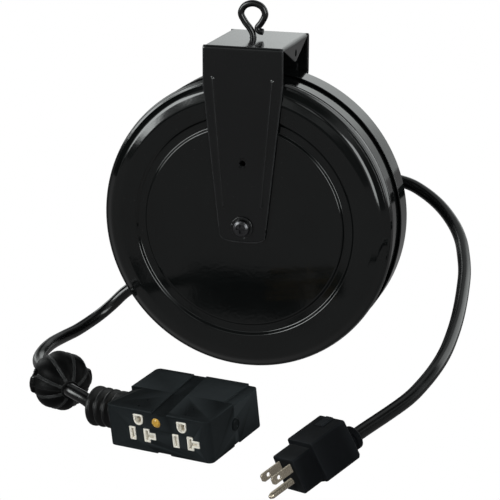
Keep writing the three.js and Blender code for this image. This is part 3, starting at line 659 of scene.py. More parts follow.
def case_fittings():
    mouth = along((0, MOUTH_Y, 0), OUT)
    guide = revolve("cord_guide_ring", [(6.7, 112), (8.2, 112), (8.2, 120.2), (10, 120.2, 0.5),
                    (10, 122.2, 0.8), (7.4, 122.8, 1.2), (6.2, 121.2, 1.0), (6.2, 116, 1)], mouth)
    rigid(guide, "case", "nylon", "cord_guide")
    spindle = revolve("axle_spindle", [(0, -39.6), (4, -39.6, 0.4), (4, -35.4), (6, -35.4, 0.4), (6, 25),
                      (9.2, 25, 0.5), (9.2, 35.3, 0.4), (8, 35.3), (8, 46, 0.6), (5.5, 46, 0.4), (5.5, 27),
                      (0, 27)])
    cut(spindle, rod("bore_tool", 2.9, -41, -20), rod("wire_tool", 2.5, 0, 12, x_along(IDENTITY, 0, 31, 0)))
    rigid(spindle, "case", "steel", "axle")
    washer = revolve("axle_washer", [(2.9, -41.2, 0.2), (9.2, -41.2, 0.5), (9.2, -39.9, 0.2),
                     (2.9, -39.9, 0.2)])
    rigid(washer, "case", "bracket_enamel", "front_washer", slot="steel")
    head = [(0, -45), (4.4, -44.8, 2), (6.7, -43.5, 1.6), (7.2, -41.5, 0.2), (2.6, -41.5), (2.6, -23, 0.5),
            (0, -23)]
    screw = revolve("axle_screw", head, segments=48)
    cut(screw, block("wide_tool", -3.6, 3.6, -46, -43.2, -0.7, 0.7), block("tall_tool", -0.7, 0.7, -46, -43.2,
        -3.6, 3.6))
    rigid(screw, "case", "dark_steel", "front_axle_screw", slot="steel")
    sides = [(13.2 * math.cos(t), 13.2 * math.sin(t)) for t in np.arange(6) * math.pi / 3]
    nut = prism("axle_nut", sides, 40.2, 44.6)
    cut(nut, rod("nut_bore_tool", 8.3, 39, 46))
    rigid(soften(nut, 0.5), "case", "steel", "rear_axle_nut")


def lead_relief():
    cap = revolve("lead_relief", [(0, 44.9), (11.4, 44.9, 0.6), (11.4, 61, 2.2), (9.0, 62.6, 1), (0, 62.6)])
    spout = revolve("spout", [(0, 0), (9, 0), (9, 14.4, 1.2), (7.3, 15.6, 0.8), (7.3, 17.0, 0.8),
                    (8.5, 18.0, 0.7), (8.5, 20.2, 0.7), (6.9, 21.2, 0.7), (6.9, 22.6, 0.7), (7.7, 23.6, 0.6),
                    (7.4, 26.5, 0.7), (0, 26.5)], along(LEAD_ROOT, LEAD_OUT))
    join(cap, spout)
    cut(cap, rod("lead_bore", CORD_R + 0.2, 12, 30, along(LEAD_ROOT, LEAD_OUT)),
        rod("cap_bore", 8.3, 44, 46.4))
    rigid(cap, "case", "rubber", "lead_strain_relief")


# ---- Bracket: one folded sheet with raised ribs and side flaps ----
def bracket_sheet():
    half, top, foot, bend, flap_bend, sheet = 32.8, 147.3, 19.6, 2.6, 2.4, 2.0

    def half_at(z):
        return half if z > 116 else foot + (half - foot) * max(0, (z + 3) / 119)

    def relief(x, z):
        """Raised ribs, and the dished rim of the pivot hole."""
        height = 0
        a, b = np.array([24.7, 121.0]), np.array([15.9, 18.0])
        p = np.array([abs(x), z])
        t = np.clip((p - a) @ (b - a) / ((b - a) @ (b - a)), 0, 1)
        d = np.linalg.norm(p - a - t * (b - a))
        if d < 1.8:
            height += 1.15 * (1 + math.cos(math.pi * d / 1.8)) / 2
        hole = math.hypot(x, z - 53)
        if hole < 5.5:
            height -= 0.7 * (1 + math.cos(math.pi * hole / 5.5)) / 2
        return height

    fine = np.arange(0.60, 0.88, 0.0125)
    right = np.unique(np.round(np.concatenate([np.arange(0, 0.26, 0.035), np.arange(0.3, 0.6, 0.06), fine,
                                               [0.9, 0.95, 1.0]]), 4))
    across = np.concatenate([-right[:0:-1], right])
    tail = np.linspace(0, 1, 14)[1:]

    levels = np.unique(np.round(np.concatenate([
        np.arange(125, 143, 4.0), np.arange(115, 125, 0.6), np.arange(60, 115, 4.0), np.arange(47, 60, 0.8),
        np.arange(22, 47, 4.0), np.arange(13, 22, 0.6), np.arange(0, 13, 3.0), [top - bend]]), 3))[::-1]

    def leg_rows(y, normal):
        rows = []
        for z in levels:
            rows.append([((u * half_at(z), y, z), normal) for u in across])
        for k in range(1, 9):
            row = []
            for u in across:
                floor = -3 - 9.6 * (1 - abs(u) ** 3.2) ** (1 / 3.2)
                z = floor * k / 8
                row.append(((u * half_at(z), y, z), normal))
            rows.append(row)
        lifted = []
        for row in rows:
            lifted.append([((p[0], p[1] + normal[1] * relief(p[0], p[2]), p[2]), n) for p, n in row])
        return lifted

    def flap_path(s):
        arc = flap_bend * math.pi / 2
        if s < arc:
            a = s / flap_bend
            return half - flap_bend + flap_bend * math.sin(a), top - flap_bend + flap_bend * math.cos(a), (math.sin(a), math.cos(a))
        return half, top - flap_bend - (s - arc), (1, 0)

    front = leg_rows(LEG_FRONT, (0, -1, 0))[::-1]
    rear = leg_rows(LEG_REAR, (0, 1, 0))
    rows = [[([row[0]] * 13) + row + ([row[-1]] * 13)][0] for row in front]

    def flat_row(y, z, normal):
        row = [((u * half, y, z), normal) for u in across]
        rows.append([row[0]] * 13 + row + [row[-1]] * 13)

    for k in range(1, 7):
        a = math.pi - k * math.pi / 12
        flat_row(LEG_FRONT + bend + bend * math.cos(a), top - bend + bend * math.sin(a),
                 (0, math.cos(a), math.sin(a)))
    flat_row(-36.9, top, (0, 0, 1))
    ys = np.concatenate([[-36.6], np.arange(-35, -3, 2.5), [-2.4, -1.6, 0, 1.6, 2.4],
                        -np.arange(-35, -3, 2.5)[::-1], [36.6]])
    for y in ys:
        drop = 131 + max(0, abs(y) - 1.6) * 15.2 / 35.2
        centre = top - flap_bend
        length = flap_bend * math.acos(min(1, (drop - centre) / flap_bend)) if drop > centre else \
            flap_bend * math.pi / 2 + centre - drop
        row = [((u * (half - flap_bend), y, top), (0, 0, 1)) for u in across]
        wing = []
        for t in tail:
            x, z, (nx, nz) = flap_path(t * length)
            wing.append((x, z, nx, nz))
        left = [((-x, y, z), (-nx, 0, nz)) for x, z, nx, nz in wing][::-1]
        rows.append(left + row + [((x, y, z), (nx, 0, nz)) for x, z, nx, nz in wing])
    flat_row(36.9, top, (0, 0, 1))
    for k in range(6, 0, -1):
        a = k * math.pi / 12
        flat_row(LEG_REAR - bend + bend * math.cos(a), top - bend + bend * math.sin(a),
                 (0, math.cos(a), math.sin(a)))
    rows += [[row[0]] * 13 + row + [row[-1]] * 13 for row in rear]

    outer = np.array([[p for p, _ in row] for row in rows], float)
    normals = np.array([[n for _, n in row] for row in rows], float)
    inner = outer - normals * sheet
    m, n = outer.shape[:2]
    verts = np.concatenate([outer.reshape(-1, 3), inner.reshape(-1, 3)])
    faces = []
    for i in range(m - 1):
        for j in range(n - 1):
            quad = (i * n + j, i * n + j + 1, (i + 1) * n + j + 1, (i + 1) * n + j)
            faces += [quad, tuple(m * n + v for v in quad[::-1])]
    border = [(0, j) for j in range(n)] + [(i, n - 1) for i in range(1, m)] + \
        [(m - 1, j) for j in range(n - 2, -1, -1)] + [(i, 0) for i in range(m - 2, 0, -1)]

    def outward(i, j):
        """Direction in the sheet that points off its edge at a border point."""
        if i in (0, m - 1) and 13 <= j < n - 13:
            d = outer[i, j] - outer[1 if i == 0 else m - 2, j]
            side = outer[i, max(13, j - 1)] - outer[i, min(n - 14, j + 1)]
            d = d - unit(side) * (d @ unit(side))
            return unit(d)
        step = 1 if j == 0 or j < 13 else -1
        k = j
        while np.linalg.norm(outer[i, j] - outer[i, k]) < 1e-4:
            k += step
        return unit(outer[i, j] - outer[i, k])

    extra = []
    for depth, reach in ((0.25, 0.28), (1.0, 0.42), (1.75, 0.28)):
        extra.append([outer[i, j] - normals[i, j] * depth + outward(i, j) * reach for i, j in border])
    base = len(verts)
    verts = np.concatenate([verts, np.array(extra).reshape(-1, 3)])
    count = len(border)
    lines = [[i * n + j for i, j in border]] + [[base + k * count + b for b in range(count)] for k in range(3)] + \
        [[m * n + i * n + j for i, j in border]]
    for a, b in zip(lines, lines[1:]):
        for k in range(count):
            q = (k + 1) % count
            faces.append((a[k], a[q], b[q], b[k]))
    sheet_obj = build("bracket_sheet", verts, faces)
    cut(sheet_obj, rod("pivot_tool", 2.75, -60, 60, shifted(IDENTITY, 0, 0, 53)),
        rod("flap_tool", 3, -60, 60, x_along(IDENTITY, 0, 0, 137.5)),
        rod("eye_tool", 3.1, -8, 8, z_along(IDENTITY, EYE_X, EYE_Y, top)),
        rod("front_tool", 4.3, -48, -30), rod("rear_tool", 8.3, 30, 48))
    rigid(sheet_obj, "bracket", "bracket_enamel", "bracket", slot="enamel", smooth=50, weighted=False)


def hanging_eye():
    x, y = EYE_X, EYE_Y
    path = [(x, y, 134), (x, y, 142), (x, y, 149.7), (x - 2.2, y, 154.4), (x - 7, y, 160.4),
            (x - 10.1, y, 167), (x - 7.2, y, 172.8), (x, y, 175.3), (x + 7.2, y, 172.8), (x + 10.1, y, 167),
            (x + 7, y, 160), (x + 3.9, y, 155.6), (x + 5.2, y, 153.2), (x + 8.2, y, 152.5)]
    rigid(tube("eye_wire", curve_points(path, 0.9), EYE_WIRE, 28, edge=0.5), "hanging_eye", "black_steel",
          "hanging_eye", weighted=False)
    frame_z = z_along(IDENTITY, EYE_X, EYE_Y, 143.4)
    washer = revolve("eye_washer_ring", [(3.1, 0, 0.2), (8.4, 0, 0.4), (8.4, 1.5, 0.4), (3.1, 1.5, 0.2)],
                     frame_z)
    rigid(washer, "hanging_eye", "steel", "eye_washer")
    sides = [(5.8 * math.cos(t), 5.8 * math.sin(t)) for t in np.arange(6) * math.pi / 3]
    frame_z = z_along(IDENTITY, EYE_X, EYE_Y, 137)
    nut = prism("eye_nut_hex", sides, 0, 5, frame_z)
    cut(nut, rod("eye_nut_tool", 3.1, -1, 6, frame_z))
    rigid(soften(nut, 0.35), "hanging_eye", "steel", "eye_nut")


# ---- Ball stop ----
def ball_half(name, node, side):
    """Half of a pumpkin-shaped ball: eight bulging lobes with a thin raised rib in each valley between them."""
    lobe_r, valley, rib_h, rib_w, bore, neck = 23.2, 1.9, 0.9, 1.4, CORD_R + 0.25, 7.0
    gap = 0.08 * side
    phis = [0.0]
    for k in range(4):
        middle = math.radians(22.5 + 45 * k)
        for d in (22.5, 16, 10, 6.5, 5.2, 4.2, 3.2, 2.2, 1.1):
            phis.append(middle - math.radians(d))
        for d in (0, 1.1, 2.2, 3.2, 4.2, 5.2, 6.5, 10, 16):
            phis.append(middle + math.radians(d))
    phis = np.unique(np.round(phis + [math.pi], 6))
    top = math.degrees(math.acos(neck / lobe_r))
    stations = np.radians(np.linspace(-top, top, 45))
    end = lobe_r * math.sin(stations[-1])
    necks = [(-end - 1.5, neck - 0.5), (-end - 1.4, neck - 0.1), (-end - 0.9, neck), (-end - 0.45, neck)]
    profile = [(y, r, 0.0) for y, r in necks]
    profile += [(lobe_r * math.sin(t), lobe_r * math.cos(t), 1.0) for t in stations]
    profile += [(-y, r, 0.0) for y, r in necks[::-1]]
    rings = []
    for y, r, lobed in profile:
        outer, inner = [], []
        for phi in phis:
            away = abs((math.degrees(phi) % 45) - 22.5)
            across, depth = r, y
            if lobed:
                fade = min(1.0, max(0.0, (r / lobe_r - 0.3) / 0.35))
                wide = max(rib_w / max(r, 1), 0.02)
                rib = max(0.0, 1 - (math.radians(away) / wide) ** 4)
                change = -valley * fade * (1 - away / 22.5) ** 2 + rib_h * (0.35 + 0.65 * fade) * rib
                across, depth = r * (1 + change / lobe_r), y * (1 + change / lobe_r)
            outer.append((across * math.cos(phi), depth, side * across * math.sin(phi) + gap))
            inner.append((bore * math.cos(phi), y, side * bore * math.sin(phi) + gap))
        rings.append(outer + inner[::-1])
    count = len(phis)

    def on_rib(i, j):
        if j >= count - 1 or not profile[i][2] or not profile[min(i + 1, len(profile) - 1)][2]:
            return False
        away = abs((math.degrees((phis[j] + phis[j + 1]) / 2) % 45) - 22.5)
        return math.radians(away) * profile[i][1] < rib_w * 1.05

    made = loft(name, rings, BALL, marked=on_rib)
    for s in (1, -1):
        frame_z = z_along(BALL, s * 20.2, 0, 0)
        ends = [(0, 0.08), (5.0, 0.08), (5.0, 1.5, 1.2), (4.2, 5.4, 2.5), (2.6, 6.9, 1.2), (0, 7.0)]
        if side < 0:
            ends = [(r, -y, *f) for r, y, *f in ends[::-1]]
        join(made, revolve("lug", ends, frame_z, 48, 5))
        low, high = sorted((4.6 * side, 12 * side))
        cut(made, rod("screw_tool", 1.9, -9, 9, frame_z), rod("head_tool", 3.4, low, high, frame_z))
    # Lobes take the darker rubber copy as painted shade; ribs take the paler copy as painted highlight.
    rigid(made, "output_cord", "ball_rubber_painted_shade", node, slot="rubber", smooth=38, second="ball_rib_painted_highlight")


def ball_stop():
    ball_half("ball_half_upper", "ball_upper_half", 1)
    ball_half("ball_half_lower", "ball_lower_half", -1)
    for i, s in enumerate((1, -1)):
        frame_z = z_along(BALL, s * 20.2, 0, 0)
        screw = revolve(f"ball_stop_screw_{i + 1}", [(0, -5.6), (1.6, -5.6, 0.3), (1.6, 4.7), (3.1, 4.7, 0.2),
                                                     (3.1, 5.3, 0.5), (2.0, 6.1, 1.2), (0, 6.2)], frame_z, 32)
        cut(screw, block("slot_tool", -2.1, 2.1, 5.5, 9, -0.4, 0.4, frame_z),
            block("slot_tool", -0.4, 0.4, 5.5, 9, -2.1, 2.1, frame_z))
        rigid(screw, "output_cord", "black_steel", f"ball_screw_{i + 1}", slot="steel")


# ---- Outlet box ----
def ground_outline(x, grow):
    r = 4.1 + grow
    arc = [(x + r * math.cos(a), GROUND_Z - 0.4 + r * math.sin(a)) for a in np.linspace(math.pi, 2 * math.pi,
           17)]
    top = rounded([(x + r, GROUND_Z - 0.4), (x + r, GROUND_Z + 4.1 + grow, 0.9),
                  (x - r, GROUND_Z + 4.1 + grow, 0.9), (x - r, GROUND_Z - 0.4)])
    return arc + [tuple(p) for p in top[1:-1]]


def blade_outline(x, half_w, half_h, arm=0.0, arm_half=0.0, r=0.5):
    corners = [(x - half_w, BLADE_Z - half_h, r), (x + half_w, BLADE_Z - half_h, r)]
    if arm:
        corners += [(x + half_w, BLADE_Z - arm_half, 0.3), (x + arm, BLADE_Z - arm_half, r),
                    (x + arm, BLADE_Z + arm_half, r), (x + half_w, BLADE_Z + arm_half, 0.3)]
    corners += [(x + half_w, BLADE_Z + half_h, r), (x - half_w, BLADE_Z + half_h, r)]
    return rounded(corners, steps=3)


def boss_outlines(x, grow):
    left, right = x - BLADE_GAP / 2, x + BLADE_GAP / 2
    return [blade_outline(left, 2.65 + grow, 5.3 + grow), blade_outline(right, 2.65 + grow, 5.3 + grow,
            7.8 + grow, 2.65 + grow), ground_outline(x, grow)]


def slot_outlines(x):
    left, right = x - BLADE_GAP / 2, x + BLADE_GAP / 2
    return [blade_outline(left, 1.1, 3.9, r=0.2), blade_outline(right, 1.1, 3.9, 6.2, 1.1, r=0.2),
            ground_outline(x, -1.4)]


def turned_round(matrix):
    """The box's frame turned half round about its upright centre line."""
    m = matrix.copy()
    m[:3, 0], m[:3, 1] = -matrix[:3, 0], -matrix[:3, 1]
    m[:3, 3] = at(matrix, (BOX_W, BOX_D, 0))
    return m


def receptacle(name, node, x, matrix):
    """Ivory face pieces with open slots; pale shutters close the blade slots just inside."""
    base = prism("base", [(x - 12, 7.6), (x + 14.8, 7.6), (x + 14.8, 20.2), (x + 8, 20.2), (x + 8, 30.4),
                 (x - 8, 30.4), (x - 8, 20.2), (x - 12, 20.2)], 2.95, 6, matrix)
    shells = [base]
    for outline, slot in zip(boss_outlines(x, 0), slot_outlines(x)):
        shells.append(plate("boss", [outline, slot], -0.45, 2.95, 0.22, matrix))
    cut(base, *[prism("slot_tool", s, 2, 7, matrix) for s in slot_outlines(x)[2:]])
    made = merge(name, *shells)
    rigid(made, "outlet_box", "ivory", node)


def box_shell(name, node, front):
    corner = 4.4
    plan = rounded([(0, 0, corner), (BOX_W, 0, corner), (BOX_W, BOX_D, corner), (0, BOX_D, corner)], steps=6)
    upright = frame_of(BOX[:3, 3], BOX[:3, 0], BOX[:3, 2], BOX[:3, 1])
    whole = plate(name, [plan], 0, BOX_H, 0.8, upright)
    y0, y1 = (-5, BOX_SEAM - 0.06) if front else (BOX_SEAM + 0.06, BOX_D + 5)
    combine(whole, [block("keep", -5, BOX_W + 5, y0, y1, -5, BOX_H + 5, BOX)], "INTERSECT")
    inside = (BOX_WALL, BOX_SEAM + 2) if front else (BOX_SEAM - 2, BOX_D - BOX_WALL)
    tools = [
        block("hollow", BOX_WALL, BOX_W - BOX_WALL, *inside, BOX_WALL, BOX_H - BOX_WALL, BOX, 1.0),
        prism("under", [(42.5, -1), (55.5, -1), (54.9, 1.3), (43.1, 1.3)], -1, BOX_D + 1, BOX),
        rod("button_hole", BUTTON_R + 0.4, -6, 6, x_along(BOX, BOX_W, BOX_SEAM, BUTTON_Z)),
        block("notch", BOX_W - 7, BOX_W + 1, BOX_SEAM - 4, BOX_SEAM + 4, -1, 1.6, BOX),
    ]
    flat = frame_of(BOX[:3, 3], BOX[:3, 0], BOX[:3, 2], BOX[:3, 1])
    channel = [(41.5, -1), (55.2, -1), (45.2, BOX_D + 1), (33.6, BOX_D + 1)]
    tools.append(prism("channel", channel, BOX_H - 1.2, BOX_H + 1, flat))
    ledge = [(82.6, BOX_SEAM - 0.5), (BOX_W + 2, BOX_SEAM - 0.5), (BOX_W + 2, BOX_D + 1), (82.6, BOX_D + 1)]
    tools.append(prism("ledge", ledge, BOX_H - 2.0, BOX_H + 1, flat))
    slope = [[(-1, y, BOX_H - drop), (-1, y, BOX_H + 2), (wide, y, BOX_H + 2), (wide, y, BOX_H + 0.05)]
             for y, drop, wide in ((-1, -0.1, 1), (BOX_SEAM - 0.8, 4.0, 12))]
    tools.append(loft("slope", slope, BOX))
    if front:
        tools += [prism("boss_hole", o, -1, BOX_WALL + 0.2, BOX) for x in OUTLETS for o in boss_outlines(x,
                  0.18)]
        tools.append(rod("lens_hole", LENS_R + 0.3, -1, BOX_WALL + 1, shifted(BOX, LENS_X, 0, LENS_Z)))
        tools.append(rod("port", 8.5, -2, BOX_WALL + 1, x_along(BOX, 0, PORT_Y, PORT_Z), 40))
        for x, y in ((26.1, 6.3), (26.6, 17), (68.1, 5.6), (68.1, 16.1)):
            tools.append(revolve("dimple", [(0, -0.9), (0.7, -0.8), (1.1, 0.3), (0, 0.3)],
                         z_along(BOX, x, y, BOX_H), 20))
    else:
        back = turned_round(BOX)
        tools += [prism("boss_hole", o, -1, BOX_WALL + 0.2, back) for x in OUTLETS for o in boss_outlines(x,
                  0.18)]
        tools += [rod("screw_hole", 2.9, BOX_D - 1.8, BOX_D + 1, shifted(BOX, x, 0, z)) for x, z in POSTS]
    cut(whole, *tools)
    posts = [rod("post", 2.7, *((BOX_WALL - 0.5, BOX_SEAM - 0.2) if front else (BOX_SEAM + 0.2,
             BOX_D - BOX_WALL + 0.5)), shifted(BOX, x, 0, z), 24) for x, z in POSTS]
    join(whole, *posts)
    bores = (18, BOX_SEAM + 1) if front else (BOX_SEAM - 1, BOX_D - 1)
    cut(whole, *[rod("bore", 1.7, *bores, shifted(BOX, x, 0, z), 20) for x, z in POSTS])
    rigid(whole, "outlet_box", "box_plastic", node, smooth=30, flats=True)


def outlet_box():
    box_shell("box_half_front", "box_front_shell", True)
    box_shell("box_half_rear", "box_rear_shell", False)
    for i, x in enumerate(OUTLETS):
        receptacle(f"outlet_front_{i + 1}", f"receptacle_front_{i + 1}", x, BOX)
        receptacle(f"outlet_rear_{i + 1}", f"receptacle_rear_{i + 1}", x, turned_round(BOX))
    for i, (x, z) in enumerate(POSTS):
        frame_y = shifted(BOX, x, 0, z)
        screw = revolve(f"box_case_screw_{i + 1}", [(0, 22), (1.3, 22, 0.4), (1.3, 67.5), (2.5, 67.5, 0.2),
                        (2.5, 68.6, 0.4), (0, 68.8)], frame_y, 32)
        cut(screw, block("slot_tool", -1.7, 1.7, 68.1, 70, -0.35, 0.35, frame_y),
            block("slot_tool", -0.35, 0.35, 68.1, 70, -1.7, 1.7, frame_y))
        rigid(screw, "outlet_box", "steel", f"box_screw_{i + 1}")
    lens = revolve("power_lens", [(0, -1.25), (1.9, -1.0, 1.5), (3.0, -0.2, 0.8), (LENS_R, 0.5, 0.4),
                   (LENS_R, 6.4), (0, 6.4)], shifted(BOX, LENS_X, 0, LENS_Z), 48)
    rigid(lens, "outlet_box", "amber", "indicator_lens")
    button = revolve("reset_cap", [(0, 84.2), (6.2, 84.2, 0.3), (6.2, 85.6, 0.3), (BUTTON_R, 85.6),
                     (BUTTON_R, 91.7, 0.7), (3.6, 91.9, 0.5), (3.0, 91.5, 0.5), (0, 91.5)],
                     x_along(BOX, 0, BOX_SEAM, BUTTON_Z), 48)
    rigid(button, "reset_button", "box_plastic", "reset_button", slot="nylon")
    ribs = [(5.35, -30, 0.6), (12.6, -30.2, 2.4), (15.3, -28.2, 1.4), (15.3, -25.4, 1.2), (11.2, -24.2, 0.8),
            (11.2, -21.8, 0.8), (15.1, -20.8, 1.2), (15.1, -18.4, 1.2), (11.2, -17.2, 0.8),
            (11.2, -14.8, 0.8), (14.9, -13.8, 1.2), (14.9, -11.4, 1.2), (11.2, -10.2, 0.8), (11.2, -7.8, 0.8),
            (14.6, -6.8, 1.2), (14.6, -0.3, 0.4), (8, -0.3), (8, 2.9), (10.8, 2.9, 0.4), (10.8, 6, 0.4),
            (5.35, 6)]
    boot = revolve("boot_ribs", ribs, x_along(BOX, 0, PORT_Y, PORT_Z), 72)
    rigid(boot, "outlet_box", "rubber", "strain_boot")


# ---- Plug ----
def plug_section(outline, y, grow=0.0, bow=0.0):
    """Ring of a plug outline at y, its corners rounded and its sides bowed out."""
    p = rounded([(x * (1 + grow), (z + 7) * (1 + grow) - 7, r) for x, z, r in outline], steps=5)
    wide = np.abs(p[:, 0]).max()
    p[:, 0] += bow * np.sign(p[:, 0]) * (1 - ((p[:, 1] + 6) / 16) ** 2) * (np.abs(p[:, 0]) / wide) ** 3
    return np.stack([p[:, 0], np.full(len(p), y), p[:, 1]], 1)


def plug():
    nose = [(-12.2, 6.6, 1.4), (12.2, 6.6, 1.4), (12.6, -17.8, 2), (10.6, -20.9, 1.6), (-10.6, -20.9, 1.6),
            (-12.6, -17.8, 2)]
    grip = [(-14.4, 9.9, 1.6), (14.4, 9.9, 1.6), (16.9, -18.4, 2.4), (14.8, -21.5, 2), (-14.8, -21.5, 2),
            (-16.9, -18.4, 2.4)]
    rings = [plug_section(nose, 0, -0.05), plug_section(nose, 0.25, -0.02), plug_section(nose, 0.9, 0, 0.1),
             plug_section(nose, 8, 0, 0.25), plug_section(nose, 15.8, 0.0, 0.2),
             plug_section(nose, 16.5, 0.02, 0.2), plug_section(grip, 17.3, -0.05, 0.2),
             plug_section(grip, 17.7, -0.015, 0.3), plug_section(grip, 18.6, 0, 0.3),
             plug_section(grip, 30, 0, 0.5), plug_section(grip, 42, 0, 0.4), plug_section(grip, 49, 0, 0.2),
             plug_section(grip, 49.7, -0.02, 0.1), plug_section(grip, 50, -0.06)]
    body = loft("plug_moulding", rings, PLUG)
    exit_frame = shifted(PLUG, *CORD_EXIT)
    collar = revolve("collar", [(0, 46), (10.2, 46), (9.8, 51.5, 1.0), (7.6, 53, 0.8), (7.6, 55.4, 0.8),
                     (9.0, 56.4, 0.8), (9.0, 60.2, 1.4), (7.0, 61.6, 0.8), (0, 61.6)], exit_frame)
    bump = prism("bump", rounded([(-5, 8, 0.2), (5, 8, 0.2), (4.2, 11.5, 1.4), (-4.2, 11.5, 1.4)]), 37, 48.4,
                 PLUG)
    join(body, collar, soften(bump, 0.6))
    tools = []
    for s in (-1, 1):
        x = s * BLADE_GAP / 2
        tools.append(block("blade_tool", x - 1.05, x + 1.05, -1, 8.4, -3.5, 3.5, PLUG))
    tools.append(rod("pin_tool", 2.75, -1, 8.4, shifted(PLUG, 0, 0, -11.9)))
    tools.append(rod("cord_tool", CORD_R + 0.15, 46, 63, exit_frame, 48))
    cut(body, *tools)
    rigid(body, "plug", "plug_vinyl", "plug_body", smooth=40)
    blade_y = frame_of(PLUG[:3, 3], -PLUG[:3, 1], PLUG[:3, 0], PLUG[:3, 2])
    hole = [(11.7 + 1.6 * math.cos(a), 1.6 * math.sin(a)) for a in np.linspace(0, 2 * math.pi, 24,
            endpoint=False)]
    outline = rounded([(-8, -3.175, 0.2), (16.4, -3.175, 0.8), (17.9, -1.9, 0.6), (17.9, 1.9, 0.6),
                      (16.4, 3.175, 0.8), (-8, 3.175, 0.2)])
    for name, node, s in (("prong_line", "blade_line", 1), ("prong_neutral", "blade_neutral", -1)):
        x = s * BLADE_GAP / 2
        made = plate(name, [outline, hole], x - 0.75, x + 0.75, 0.18, blade_y)
        rigid(made, "plug", "blade_metal", node)
    pin = revolve("prong_ground", [(0, -21.4), (1.3, -21.3, 0.9), (2.4, -18.8, 1.5), (2.4, 8, 0.3), (0, 8)],
                  shifted(PLUG, 0, 0, -11.9), 40)
    rigid(pin, "plug", "blade_metal", "ground_pin")


# ---- Cords ----
def cords():
    on_mouth = [OUT * r + (0, MOUTH_Y, 0) for r in (100, 104, 108, 112, 116, 121)]
    ball_points = [at(BALL, (0, t, 0)) for t in (-22, -11, 0, 11, 22)]
    out_path = on_mouth + [(-113.7, -9.5, -75.5), (-123.5, -13, -85.5), (-131.8, -20, -93.1),
                           (-138.5, -31, -97.8), (-143.8, -45, -100.5), (-148.5, -60, -101.3),
                           (-151.8, -78, -101.4), (-151.9, -95, -101.8), (-150, -110, -103.2),
                           (-143.3, -125, -103), (-132.2, -139.8, -99.4)] + ball_points[:3]
    first = tube("cord_case_to_ball", curve_points(out_path, 1.6), CORD_R)
    finish(first, "cord_jacket", weighted=False)
    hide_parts("output_cord")
    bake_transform(first)
    inside = [at(BOX, (x, PORT_Y, PORT_Z)) for x in (-30, -14, 10)]
    second = tube("cord_ball_to_box", curve_points(ball_points[2:] + [BOX_BEND] + inside, 1.6), CORD_R)
    finish(second, "cord_jacket", weighted=False)
    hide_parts("box_cord", "output_cord")
    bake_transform(second)
    lead_path = [LEAD_ROOT + LEAD_OUT * t for t in (12.6, 24, 36)] + [(60, 51, 18.6), (90, 49.5, 27),
                 (117.6, 46, 24.8), (132.3, 41, 19.6), (147.9, 31, 11.9), LEAD_BEND, (172, -3, -5.6),
                 (178, -21, -13.3), (182.5, -39, -20.9), (185, -57, -28.3), (186.7, -75, -35.6),
                 (187.8, -94, -42.4), (187.7, -112, -49.3), (186.5, -130, -56.1), (183.2, -148, -62.8),
                 (177.3, -164, -70.3), (169.5, -180, -77.4)] + [at(PLUG,
                 (CORD_EXIT[0], y, CORD_EXIT[2])) for y in (66, 60, 53, 47)]
    line = curve_points(lead_path, 1.6)
    middle = int(np.argmin(np.linalg.norm(line - (186.5, -80, -37), axis=1)))
    upper = tube("cord_lead_upper", line[: middle + 2], CORD_R)
    lower = tube("cord_lead_lower", line[middle:], CORD_R)
    for piece, nodes, bodies, start, end in (
        (upper, ("lead_cord_root", "lead_cord_run"), ("case", "lead_cord"), (117.6, 46, 24.8), (178, -21, -13.3)),
        (lower, ("plug_cord", "lead_cord_run"), ("lead_cord", "plug"), (183.2, -148, -62.8), at(PLUG, (0, 60, -11))),
    ):
        finish(piece, "cord_jacket", weighted=False)
        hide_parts(*nodes)
        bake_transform(piece)


# ---- Inside the case ----
def wound_cord():
    """Cord wound on the hub, three turns wide and four layers deep, as one continuous helix."""
    layers, width, pitch = 4, 3, 10.2
    per_turn, line = 40, []
    for layer in range(layers):
        for k in range(int(width * per_turn) + (1 if layer == layers - 1 else 0)):
            t = k / per_turn
            travel = min(max(t - 0.5, 0), width - 1) if 0.5 < t < width else (0 if t <= 0.5 else width - 1)
            y = -19.3 + pitch * (travel if layer % 2 == 0 else width - 1 - travel)
            a = 2 * math.pi * (layer * width + t)
            lift = min(1.0, max(0.0, (t - (width - 0.25)) / 0.25)) if layer < layers - 1 else 0.0
            r = 55.8 + 12.0 * (layer + lift)
            line.append((r * math.cos(a), y, r * math.sin(a)))
    rigid(tube("cord_wound", resample(np.array(line), 7.0), 5.0, 14), "drum", "cord_jacket", "wound_cord",
          weighted=False)


def main_spring():
    """Flat clock spring: a strip wound outwards from the axle."""
    turns, inner, outer = 3.5, 8.0, 44.0
    count = int(turns * 48)
    rings = []
    for i in range(count + 1):
        a = 2 * math.pi * turns * i / count
        r = inner + (outer - inner) * i / count
        c, s = math.cos(a), math.sin(a)
        rings.append([(r * c, -20, r * s), ((r + 1) * c, -20, (r + 1) * s), ((r + 1) * c, 2, (r + 1) * s),
                     (r * c, 2, r * s)])
    rigid(loft("spring_strip", rings), "drum", "black_steel", "main_spring")


INSIDE = {"drum_hub": "nylon", "front_flange": "steel", "rear_flange": "steel", "front_bushing": "brass",
          "rear_bushing": "brass", "spring_cover": "steel", "slip_ring_disc": "insulator",
          "slip_ring_ground": "copper", "slip_ring_neutral": "copper", "slip_ring_line": "copper",
          "ratchet_ring": "steel", "pawl": "black_steel", "pawl_pin": "steel", "pawl_spring": "steel",
          "brush_holder": "insulator", "brush_ground": "carbon", "brush_neutral": "carbon",
          "brush_line": "carbon", "bus_line": "brass", "bus_neutral": "brass", "bus_ground": "brass",
          "circuit_breaker": "nylon", }


def inner_parts():
    """CAD nodes inside the case and the box keep their shape and get a finish."""
    for node, look in INSIDE.items():
        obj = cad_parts[node]
        if obj.material_slots:
            obj.material_slots[0].material = LOOK[look]
        else:
            obj.data.materials.append(LOOK[look])


